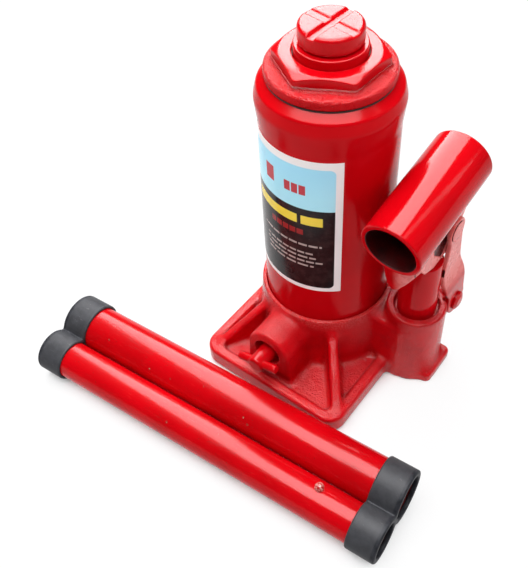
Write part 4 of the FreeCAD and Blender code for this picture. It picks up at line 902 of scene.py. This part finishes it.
def nut_shape(x, y, z):
    """A chamfered hexagon on a round flange, with a skirt inside the casing."""
    out = np.hypot(x, y)
    turns = [math.radians(60 * k + 30 + NUT_TURN) for k in range(6)]
    flats = [x * math.cos(turn) + y * math.sin(turn) - NUT_FLAT_R for turn in turns]
    hexagon = functools.reduce(lambda a, b: common(a, b, 1.6), flats)
    flange_low = NUT_TOP - HEXAGON_HEIGHT - FLANGE_HEIGHT
    nut = prism(hexagon, z, flange_low + 2, NUT_TOP, 0.35)
    slope = math.radians(NUT_CHAMFER)
    cone = (out - NUT_FLAT_R + 0.6) * math.sin(slope) + (z - NUT_TOP) * math.cos(slope)
    nut = common(nut, cone, 0.5)
    flange = prism(out - FLANGE_R, z, flange_low, flange_low + FLANGE_HEIGHT, 1.7)
    nut = join(nut, flange, 1.8)
    nut = np.minimum(nut, prism(out - SKIRT_R + 0.3, z, NUT_LOW[2], flange_low + 2, 0.4))
    nut = carve(nut, prism(out - RAM_R - 0.35, z, NUT_LOW[2] - 5, NUT_TOP + 5, 0.1), 1.0)
    return carve(nut, prism(out - CYLINDER_R, z, NUT_LOW[2] - 5, NUT_TOP - NUT_SEAT_DEPTH, 0.1), 0.3)


shaped("top_nut_cast", nut_shape, NUT_LOW - 1, NUT_HIGH + 1, 0.5, "base", enamel_nut,
       ["top_nut"], 1.0)

turned("ram_ring", ring_outline(RAM_R - 0.1, RAM_BORE_R - 2.0, RAM_TOP - RAM_RING_DEPTH, RAM_TOP, 0.7, 0.5),
       ORIGIN, UP, "ram_body", enamel)
ring_foot = RAM_TOP - RAM_RING_DEPTH - 0.1
turned("ram_shaft",
       [(PISTON_R, RAM_LOW[2] + 6, 0.4), (PISTON_R, RAM_LOW[2] + 18, 0.8), (RAM_R, RAM_LOW[2] + 19, 0.3),
        (RAM_R, ring_foot, 0.2), (RAM_BORE_R, ring_foot, 0.2), (RAM_BORE_R, RAM_BORE_FLOOR, 1.0),
        (0, RAM_BORE_FLOOR), (0, RAM_LOW[2]), (12.0, RAM_LOW[2], 0.5), (12.0, RAM_LOW[2] + 6, 0.3)],
       ORIGIN, UP, "ram_body", chrome, ["ram"])


def saddle_shape(x, y, z):
    """The round saddle with two flared grooves across its top."""
    flare = math.radians(GROOVE_FLARE)
    head = prism(np.hypot(x, y) - SADDLE_R, z, RAM_TOP + 0.2, SADDLE_TOP, 2.0)
    for turn, (half, depth) in GROOVES.items():
        cos, sin = math.cos(math.radians(turn)), math.sin(math.radians(turn))
        across = -x * sin + y * cos
        wall = (np.abs(across) - half) * math.cos(flare) + (SADDLE_TOP - z) * math.sin(flare)
        head = carve(head, common(wall, SADDLE_TOP - depth - z, 0.5), 0.8)
    return head


shaped("saddle_head", saddle_shape, (-SADDLE_R - 1, -SADDLE_R - 1, RAM_TOP - 1),
       (SADDLE_R + 1, SADDLE_R + 1, SADDLE_TOP + 1), 0.36, "screw_body", enamel_machined,
       ["extension_screw"], 0.8)


def threaded(name, r, depth, low, high, pitch, body, finish):
    """A rod with a rounded helical thread that fades out at its foot, closed at both ends."""
    around, rows = 96, int((high - low) / pitch * 12)
    turns = np.linspace(0, 2 * math.pi, around, endpoint=False)
    heights = np.linspace(low, high, rows + 1)
    turn, height = np.meshgrid(turns, heights)
    phase = (height / pitch - turn / (2 * math.pi)) % 1.0
    bite = np.clip(np.abs(phase - 0.5) * 3.2 - 0.3, 0, 1)
    ends = np.clip((height - low) / 3.0, 0, 1)
    out = r - depth * (1 - bite) * ends - (1 - ends) * depth
    corners = np.stack([out * np.cos(turn), out * np.sin(turn), height], -1).reshape(-1, 3)
    faces = [[k * around + s, k * around + (s + 1) % around,
              (k + 1) * around + (s + 1) % around, (k + 1) * around + s]
             for k in range(rows) for s in range(around)]
    foot, top = len(corners), len(corners) + 1
    corners = np.vstack([corners, (0, 0, low), (0, 0, high)])
    faces += [[(s + 1) % around, s, foot] for s in range(around)]
    faces += [[rows * around + s, rows * around + (s + 1) % around, top] for s in range(around)]
    return piece(name, corners, faces, body, finish)


threaded("saddle_screw_thread", SCREW_R, THREAD_DEPTH, SCREW_LOW[2] + 6, RAM_TOP + 0.6, THREAD_PITCH,
         "screw_body", steel)

# ------------------ pump
for name, outline, finish, slot, nodes in (
        ("pump_cylinder",
         ring_outline(BARREL_R, BARREL_BORE_R, WASHER_HIGH[2], BARREL_HIGH[2], 1.0, 0.8),
         enamel, "red_steel", ["pump_barrel"]),
        ("pump_cylinder_neck",
         ring_outline(BARREL_R - 1.05, BARREL_BORE_R, BARREL_LOW[2], WASHER_HIGH[2], 0.3),
         enamel_machined, "red_steel", []),
        ("pump_washer_ring",
         ring_outline(WASHER_R, BARREL_R - 1, WASHER_LOW[2], WASHER_HIGH[2], 0.45),
         worn_paint, "copper", ["pump_washer"])):
    turned(name, outline, (PUMP_X, PUMP_Y, 0), UP, "base", finish, nodes)


def plunger_body(x, y, z):
    """The plunger rod, flattened at its head and bored for the cross pin."""
    out = np.hypot(x - PUMP_X, y - PUMP_Y)
    rod = prism(out - PLUNGER_R, z, PLUNGER_LOW[2] + 4.0, PIN_Z + 7.5, 0.5)
    rod = np.minimum(rod, prism(out - PLUNGER_FOOT_R, z, PLUNGER_LOW[2], PLUNGER_LOW[2] + 6, 0.4))
    flats = prism(np.abs(x - PUMP_X) - PLUNGER_FLAT, z, PIN_Z - 9, PIN_Z + 30, 0.1)
    below = prism(out - PLUNGER_R - 0.2, z, -10, PIN_Z - 9, 0.1)
    rod = common(rod, np.minimum(flats, below), 0.3)
    crown = np.hypot(y - PUMP_Y, np.maximum(z - PIN_Z, 0)) - PLUNGER_CROWN_R
    rod = common(rod, crown, 0.4)
    notch = np.hypot(y - PUMP_Y - 8.7, z - PIN_Z + 7.7) - 4.2
    rod = carve(rod, notch, 0.5)
    return carve(rod, np.hypot(y - PUMP_Y, z - PIN_Z) - PLUNGER_PIN_R - 0.05, 0.3)


shaped("pump_plunger_rod", plunger_body, PLUNGER_LOW - 1, PLUNGER_HIGH + 1, 0.5, "pump_plunger", chrome,
       ["plunger"], 0.8)

# ------------------ handle socket on its bracket
tilt = math.radians(SOCKET_TILT)
plunger_pin = np.array([PUMP_X, PUMP_Y, PIN_Z])
socket_axis = np.array([0, math.cos(tilt), math.sin(tilt)])
socket_up = np.array([0, -math.sin(tilt), math.cos(tilt)])


def socket_frame(y, z):
    """Distances from the plunger pin, along and above the socket."""
    dy, dz = y - PUMP_Y, z - PIN_Z
    return dy * math.cos(tilt) + dz * math.sin(tilt), -dy * math.sin(tilt) + dz * math.cos(tilt)


def socket_point(off, along, above):
    """A point beside, along and above the plunger pin, in the socket's frame."""
    return plunger_pin + np.array([off, 0, 0]) + socket_axis * along + socket_up * above


turned("handle_socket", ring_outline(SOCKET_R, SOCKET_BORE_R, SOCKET_FRONT, SOCKET_BACK, 0.9, 0.7),
       socket_point(0, 0, SOCKET_RISE), socket_axis, "socket", [enamel_socket, bore_painted_shade],
       ["socket_tube"], 144, lining=SOCKET_BORE_R + 0.5)

# outlines in the socket's own frame
along_pin, above_pin = socket_frame(UPPER_PIN[1], UPPER_PIN[2])
CHEEK_OUTLINE = [(-25.4, SOCKET_RISE), (-25.4, SOCKET_UNDER), (-15.5, -6.0), (-7.0, -11.2), (4.4, -12.0),
                 (7.2, -14.0), (along_pin + 3.0, -14.5), (along_pin + 6.7, above_pin - 5.0),
                 (33.4, SOCKET_UNDER - 2.4), (33.4, SOCKET_RISE)]
SLOT_OUTLINE = [(-6.4, 8.0), (-6.4, -0.6), (0.6, -10.4), (3.0, -10.4), (7.6, -4.6), (6.6, 8.0)]
BLADE_OUTLINE = [(-9.6, SOCKET_RISE), (-9.6, 0), (-9.0, -8.0), (-7.4, -12.4), (-0.6, -12.6), (3.0, -7.6),
                 (6.0, -2.6), (10.2, 5.0), (10.2, SOCKET_RISE)]


def bracket_shape(x, y, z):
    """Two cheeks, the blade across their front with its round tip, and a blind slot in the right cheek."""
    along, above = socket_frame(y, z)
    off = x - PUMP_X
    cheek = prism(polygon(along, above, CHEEK_OUTLINE), np.abs(off), CHEEK_IN, CHEEK_OUT, 0.7)
    tip = np.hypot(off + 4.0, above + TONGUE_DROP - 3.5) - 3.5
    bowed = along - (off + 2.0) ** 2 / 30
    blade = prism(join(polygon(off, above, BLADE_OUTLINE), tip, 2.0), bowed,
                  TONGUE_FRONT, TONGUE_FRONT + TONGUE_THICKNESS, 0.9)
    strap = prism(oblong(off, above, -STRAP_HALF, STRAP_HALF, SOCKET_UNDER - 3.4, SOCKET_RISE, 1.5),
                  along, TONGUE_FRONT, TONGUE_FRONT + TONGUE_THICKNESS, 0.9)
    bracket = join(join(cheek, blade, 1.4), strap, 1.4)
    round_socket = np.hypot(off, above - SOCKET_RISE)
    bracket = np.maximum(bracket, SOCKET_R - 0.9 - round_socket)
    slot = np.maximum(polygon(along, above, SLOT_OUTLINE), CHEEK_IN + SLOT_SKIN - off)
    bracket = carve(bracket, slot, 0.2)
    return carve(bracket, np.hypot(along - along_pin, above - above_pin) - LINK_PIN_R, 0.5)


BRACKET_LOW, BRACKET_HIGH = span("socket_bracket")
shaped("socket_cheeks", bracket_shape, BRACKET_LOW - 1, BRACKET_HIGH + 1, 0.5, "socket", enamel_pressed,
       ["socket_bracket"], 1.0)


def weld_bead(name, path, r, seed):
    """A lumpy bead along a path on the socket, as welding leaves it."""
    path = np.array(path, float)
    along = np.gradient(path, axis=0)
    along /= np.linalg.norm(along, axis=1)[:, None]
    lumps = np.random.default_rng(seed).uniform(-1, 1, len(path))
    around = 16
    turns = np.linspace(0, 2 * math.pi, around, endpoint=False)
    corners, faces = [], []
    for k, (spot, run) in enumerate(zip(path, along)):
        side = np.cross(run, ACROSS if abs(run[0]) < 0.9 else (0, 1, 0))
        side /= np.linalg.norm(side)
        other = np.cross(run, side)
        end = math.sin(math.pi * min(max(k, 0.12), len(path) - 1.12) / (len(path) - 1)) ** 0.35
        size = r * end * (1 + 0.16 * lumps[k] + 0.10 * math.cos(k * 2.1))
        corners += [spot + size * (math.cos(t) * side + math.sin(t) * other) for t in turns]
    for row in range(0, len(corners) - around, around):
        faces += [[row + s, row + (s + 1) % around, row + around + (s + 1) % around, row + around + s]
                  for s in range(around)]
    faces += [list(range(around - 1, -1, -1)), list(range(len(corners) - around, len(corners)))]
    return piece(name, corners, faces, "socket", enamel_machined)


cheek_top = SOCKET_RISE - math.sqrt(SOCKET_R ** 2 - CHEEK_OUT ** 2)
for side, word in ((-1, "left"), (1, "right")):
    weld_bead(f"cheek_weld_{word}", [socket_point(side * (CHEEK_OUT + 0.1), along, cheek_top - 0.1)
                                     for along in np.linspace(-24, 31, 44)], 1.25, 7 + side)
weld_bead("mouth_weld", [socket_point(SOCKET_R * math.cos(turn), TONGUE_FRONT - 0.4,
                                      SOCKET_RISE + SOCKET_R * math.sin(turn))
                         for turn in np.radians(np.linspace(-40, 40, 26) - 90)], 1.3, 3)


# ------------------ links, pins and clips
def link_shape(side):
    """A stamped plate: a broad paddle on the lower pin, cranked inwards to a narrow upper end."""
    eye_y, eye_z = LOWER_PIN[1:]
    hole_y, hole_z = UPPER_PIN[1] + LINK_HEAD_SHIFT[0], UPPER_PIN[2] + LINK_HEAD_SHIFT[1]
    run_y, run_z = hole_y - eye_y, hole_z - eye_z
    long = math.hypot(run_y, run_z)

    def shape(x, y, z):
        along = ((y - eye_y) * run_y + (z - eye_z) * run_z) / long
        across = ((y - eye_y) * run_z - (z - eye_z) * run_y) / long
        round_eye, round_hole = np.hypot(y - eye_y, z - eye_z), np.hypot(y - hole_y, z - hole_z)
        share = np.clip((along / long - LINK_NARROWS[0]) / (LINK_NARROWS[1] - LINK_NARROWS[0]), 0, 1)
        half = LINK_PADDLE - (LINK_PADDLE - LINK_WAIST) * share * share * (3 - 2 * share)
        front = polygon(along / long * LINK_FRONT_PITCH, -across, LINK_FRONT)
        flat = np.maximum(across - half, np.maximum(-along, along - long))
        flat = np.maximum(flat, front)
        flat = join(flat, round_eye - LINK_EYE_R, 2.0)
        flat = join(flat, round_hole - LINK_HEAD_R, 3.0)
        flat = np.maximum(flat, LINK_PIN_R + 0.05 - round_eye)
        flat = np.maximum(flat, LINK_HEAD_HOLE_R - round_hole)
        crank = np.clip((LINK_CRANK[1] - along / long) / (LINK_CRANK[1] - LINK_CRANK[0]), 0, 1)
        off = side * (x - PUMP_X) - LINK_JOGGLE * crank * crank * (3 - 2 * crank)
        return prism(flat, off, LINK_IN, LINK_IN + LINK_THICKNESS, 0.7)
    return shape


for side, word in ((-1, "left"), (1, "right")):
    low, high = span(f"link_{word}")
    shaped(f"pump_link_{word}", link_shape(side), low - (3, 1, 1), high + (3, 1, 1), 0.45, "links",
           enamel_pressed, [f"link_{word}"], 0.9)


def headed_pin(name, node, body, head_x, thickness, head_r):
    """A pin with a chamfered head on its right end, from head_x outwards."""
    low, high = span(node)
    y, z = (low + high)[1:] / 2
    turned(name, [(0, low[0]), (0, head_x + thickness), (head_r * 0.6, head_x + thickness, 0.8),
                  (head_r, head_x + thickness * 0.55, 0.5), (head_r, head_x, 0.3), (LINK_PIN_R, head_x, 0.2),
                  (LINK_PIN_R, low[0], 0.6)],
           (0, y, z), ACROSS, body, enamel_pressed, [node], 72)


link_face = PUMP_X + LINK_IN + LINK_THICKNESS + 0.1
headed_pin("upper_pin", "link_upper_pin", "socket", link_face, *UPPER_HEAD)
headed_pin("lower_pin", "link_lower_pin", "base", link_face + LINK_JOGGLE, *LOWER_HEAD)
for word, body in (("upper", "socket"), ("lower", "base")):
    low, high = span(f"link_{word}_clip")
    y, z = (low + high)[1:] / 2
    turned(f"{word}_clip_ring", ring_outline(CLIP_R, LINK_PIN_R + 0.02, low[0], high[0], 0.4), (0, y, z),
           ACROSS, body, steel, [f"link_{word}_clip"], 72)


def plain_pin(name, node, r, half, edge, centre, axis, body, segments):
    """A round pin, half its length each way from its centre."""
    turned(name, [(0, -half), (0, half), (r, half, edge), (r, -half, edge)], centre, axis, body,
           enamel_machined, [node], segments)


plain_pin("plunger_cross_pin", "plunger_pin", PLUNGER_PIN_R, CHEEK_IN, 0.7, plunger_pin, ACROSS,
          "pump_plunger", 72)

# ------------------ release valve
turned("release_valve_stem",
       [(0, STEM_LOW[1]), (0, STEM_HIGH[1]), (1.2, STEM_HIGH[1], 0.2), (STEM_TIP_R, STEM_HIGH[1] - 2.0, 0.2),
        (STEM_TIP_R, STEM_HIGH[1] - 5.0, 0.3), (STEM_R, STEM_HIGH[1] - 5.2, 0.4), (STEM_R, STEM_LOW[1], 1.5)],
       (VALVE_X, 0, VALVE_Z), (0, 1, 0), "valve_stem", enamel_machined, ["release_stem"], 96)
lean = math.radians(CROSS_PIN_LEAN)
plain_pin("release_valve_pin", "release_cross_pin", CROSS_PIN_R,
          radius("release_cross_pin") / math.cos(lean) - 0.55, 0.8,
          (VALVE_X, middle("release_cross_pin")[1], VALVE_Z), (math.cos(lean), 0, math.sin(lean)),
          "valve_stem", 64)

# ------------------ filler plug on the back
filler_turn = math.radians(FILLER_TURN)
turned("filler_plug_rubber",
       [(0, CASING_R - 5.5), (0, CASING_R + 3.2), (5.2, CASING_R + 3.2, 1.4), (FILLER_R, CASING_R + 1.6, 0.8),
        (FILLER_R, CASING_R + 0.3, 0.4), (FILLER_NECK_R, CASING_R + 0.3, 0.2),
        (FILLER_NECK_R, CASING_R - 5.5, 0.5)],
       (0, 0, middle("filler_plug")[2]), (math.cos(filler_turn), math.sin(filler_turn), 0), "filler", rubber,
       ["filler_plug"], 96)

# ------------------ handle tubes, caps and button
yaw = math.radians(PACK_YAW)
pack_x = np.array([math.cos(yaw), math.sin(yaw), 0])
pack_y = np.array([-math.sin(yaw), math.cos(yaw), 0])


def pack_point(x, y, z):
    """A point along, across and above the handle pack."""
    return pack_x * x + pack_y * y + np.array([0, 0, z])


for word, r, bore_r, across, height in (
        ("large", BIG_TUBE_R, BIG_TUBE_BORE_R, BIG_TUBE_Y, BIG_TUBE_Z),
        ("small", SMALL_TUBE_R, SMALL_TUBE_BORE_R, SMALL_TUBE_Y, SMALL_TUBE_Z)):
    turned(f"handle_tube_{word}", ring_outline(r, bore_r, TUBE_LEFT, TUBE_RIGHT, 0.35),
           pack_point(0, across, height), pack_x, "handle_pack", [enamel_tube, bore_painted_shade],
           [f"handle_{word}_tube"], lining=bore_r + 0.3)


def cap_shape(left, right, lip_left):
    """A cap round both tube ends, open inwards, with a lip over the tubes' rims."""
    def shape(x, y, z):
        along, across = x * pack_x[0] + y * pack_x[1], x * pack_y[0] + y * pack_y[1]
        round_big = np.hypot(across - BIG_TUBE_Y, z - BIG_TUBE_Z)
        round_small = np.hypot(across - SMALL_TUBE_Y, z - SMALL_TUBE_Z)
        outside = join(round_big - BIG_TUBE_R - CAP_WALL, round_small - SMALL_TUBE_R - CAP_WALL, 2.4)
        cap = prism(np.maximum(outside, -z), along, left, right, 1.1)
        start = left + CAP_LIP if lip_left else left - 5
        end = right + 5 if lip_left else right - CAP_LIP
        cap = carve(cap, prism(round_big - BIG_TUBE_R - 0.05, along, start, end, 0.1), 0.5)
        cap = carve(cap, prism(round_small - SMALL_TUBE_R - 0.05, along, start, end, 0.1), 0.5)
        cap = carve(cap, round_big - BIG_TUBE_BORE_R - CAP_MOUTH_EASE, 1.0)
        return carve(cap, round_small - SMALL_TUBE_BORE_R - CAP_MOUTH_EASE, 1.0)
    return shape


for word, end in (("left", TUBE_LEFT - CAP_LIP), ("right", TUBE_RIGHT + CAP_LIP - CAP_LENGTH)):
    low, high = span(f"twin_cap_{word}")
    shaped(f"twin_cap_{word}_rubber", cap_shape(end, end + CAP_LENGTH, word == "left"), low - 1, high + 1,
           0.45, f"{word}_cap", rubber, [f"twin_cap_{word}"], 1.2)

button_lean = math.radians(BUTTON_LEAN)
button_top, button_shelf = SMALL_TUBE_R + 3.2, 6.7
turned("lock_button_nub",
       [(0, button_top), (1.5, button_top - 0.2, 0.8), (2.3, SMALL_TUBE_R + 1.6, 0.6),
        (2.5, button_shelf, 0.3), (4.6, button_shelf, 0.3), (4.6, button_shelf - 1, 0.3),
        (1.6, button_shelf - 1, 0.2), (1.4, SMALL_TUBE_R + 1.0, 0.4), (0, SMALL_TUBE_R + 1.0)],
       pack_point(TUBE_RIGHT - BUTTON_FROM_END, SMALL_TUBE_Y, SMALL_TUBE_Z),
       pack_y * math.sin(button_lean) + np.array([0, 0, math.cos(button_lean)]), "button", worn_paint,
       ["lock_button"], 64)

# ------------------ nodes whose own shape is right
for finish, nodes in (
        (vinyl, ["casing_label"]),
        (copper, ["cylinder_seal"]),
        (seal, ["casing_gasket", "top_gasket", "wiper_seal", "piston_cup_seal", "release_seal_ring",
                "plunger_cup_seal"]),
        (steel, ["pressure_cylinder", "piston_retaining_ring", "screw_stop_ring", "lock_button_spring",
                 "suction_ball", "delivery_ball", "release_ball", "relief_ball", "relief_spring",
                 "relief_screw", "gallery_plug"])):
    for node in nodes:
        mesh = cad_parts[node].data
        mesh.materials.clear()
        mesh.materials.append(finish)
        mesh.polygons.foreach_set("material_index", [0] * len(mesh.polygons))


# ------------------ floor, light and camera
WHITE = (1, 1, 1, 1)
CLOTH = (0.85, 0.85, 0.86, 1)
SKY = (0.97, 0.98, 1.0, 1)
AMBIENT = 0.16
AMBIENT_MIRRORED = 0.08
SHADOW_REACH = 0.035
FLOOR_HALF = 3
WINDOW_TURN = 127
WINDOW_SIZE = (1.48, 0.56)

# lights: place in metres, turn, size, level, whether only reflections show it, and where it looks
LIGHTS = {
    "window_light": ((-0.36, 0.24, 0.62), WINDOW_TURN, WINDOW_SIZE, 4.1, False, None),
    "window_mirrored": ((-0.308, 0.344, 0.60), WINDOW_TURN, WINDOW_SIZE, 20.0, True, None),
    "strip_mirrored": ((0.57, 0.38, 0.77), 0, (0.06, 0.5), 4.0, True, (0.06, 0, 0.13)),
    "side_light": ((0.9, 0.45, 0.5), 0, (0.8, 0.6), 2.2, False, (0, 0, 0.1)),
    "room_light": ((0.0, 0.0, 1.5), 0, (2.4, 2.4), 0.85, False, None),
}

CAMERA_LENS = 54.56
CAMERA_SHIFT = (-0.0459, -0.1057)
CAMERA_AZIMUTH, CAMERA_ELEVATION, CAMERA_ROLL = 38.23, 45.51, -2.06
CAMERA_TARGET = (-19.89, -10.26, 76.37)
CAMERA_DISTANCE = 444.8


def floor():
    """A pale floor that shows white to the camera and keeps the shadow close to the object."""
    f = Nodes(bpy.data.materials.new("studio_floor"))
    seen = f.ray("Is Camera Ray").most(f.ray("Is Glossy Ray")).most(f.ray("Is Transmission Ray"))
    cloth = f.node("ShaderNodeBsdfDiffuse", {}, {"Color": CLOTH})
    white = f.node("ShaderNodeEmission", {}, {"Color": WHITE, "Strength": 1.0})
    near = f.node("ShaderNodeAmbientOcclusion", {"samples": 8}, {"Distance": SHADOW_REACH}, 1)
    share = seen * near.ramp(0.12, 0.70, 0.0, 0.88)
    f.node("ShaderNodeOutputMaterial", {},
           {"Surface": f.node("ShaderNodeMixShader", {}, {0: share, 1: cloth, 2: white})})
    mesh = bpy.data.meshes.new("studio_floor")
    corners = [(x * FLOOR_HALF, y * FLOOR_HALF, 0) for x, y in ((-1, -1), (1, -1), (1, 1), (-1, 1))]
    mesh.from_pydata(corners, [], [(0, 1, 2, 3)])
    mesh.materials.append(f.owner)
    made = bpy.data.objects.new("studio_floor", mesh)
    bpy.context.scene.collection.objects.link(made)


def surroundings():
    """A dim even light from all round, dimmer still in reflections, and a white backdrop."""
    world = Nodes(bpy.data.worlds.new("studio"))
    bpy.context.scene.world = world.owner

    def glow(colour, strength):
        return world.node("ShaderNodeBackground", {}, {"Color": colour, "Strength": strength})

    around = world.node("ShaderNodeMixShader", {}, {0: world.ray("Is Glossy Ray"), 1: glow(SKY, AMBIENT),
                                                    2: glow(WHITE, AMBIENT_MIRRORED)})
    seen = world.node("ShaderNodeMixShader", {}, {0: world.ray("Is Camera Ray"), 1: around,
                                                  2: glow(WHITE, 1.0)})
    world.node("ShaderNodeOutputWorld", {}, {0: seen})


def softbox(name, place, turn, size, level, mirrored, aim):
    """A lit panel. It looks straight down, or at a place; a level of 1 is white."""
    light = bpy.data.lights.new(name, "AREA")
    light.shape = "RECTANGLE"
    light.size, light.size_y = size
    light.energy = level * math.pi * size[0] * size[1]
    made = bpy.data.objects.new(name, light)
    way = Matrix.Identity(3)
    if aim is not None:
        way = (Vector(place) - Vector(aim)).to_track_quat("Z", "Y").to_matrix()
    made.matrix_world = (way @ Matrix.Rotation(math.radians(turn), 3, "Z")).to_4x4()
    made.location = place
    made.visible_camera = False
    made.visible_diffuse = not mirrored
    made.visible_glossy = mirrored
    bpy.context.scene.collection.objects.link(made)


def camera():
    """The camera looks back at its target; azimuth 0 is the front, 90 the right."""
    data = bpy.data.cameras.new("camera")
    data.sensor_fit = "HORIZONTAL"
    data.sensor_width = 36
    data.lens = CAMERA_LENS
    data.shift_x, data.shift_y = CAMERA_SHIFT
    made = bpy.data.objects.new("camera", data)
    azimuth, elevation, roll = [math.radians(a) for a in (CAMERA_AZIMUTH, CAMERA_ELEVATION, CAMERA_ROLL)]
    back = Vector((math.sin(azimuth) * math.cos(elevation), -math.cos(azimuth) * math.cos(elevation),
                   math.sin(elevation)))
    right = Vector((math.cos(azimuth), math.sin(azimuth), 0))
    up = back.cross(right)
    right, up = right * math.cos(roll) + up * math.sin(roll), up * math.cos(roll) - right * math.sin(roll)
    made.matrix_world = Matrix((right, up, back)).transposed().to_4x4()
    made.location = Vector(CAMERA_TARGET) * MM + back * CAMERA_DISTANCE * MM
    bpy.context.scene.collection.objects.link(made)
    bpy.context.scene.camera = made


floor()
surroundings()
for name, row in LIGHTS.items():
    softbox(name, *row)
camera()
bpy.context.scene.view_settings.view_transform = "Standard"
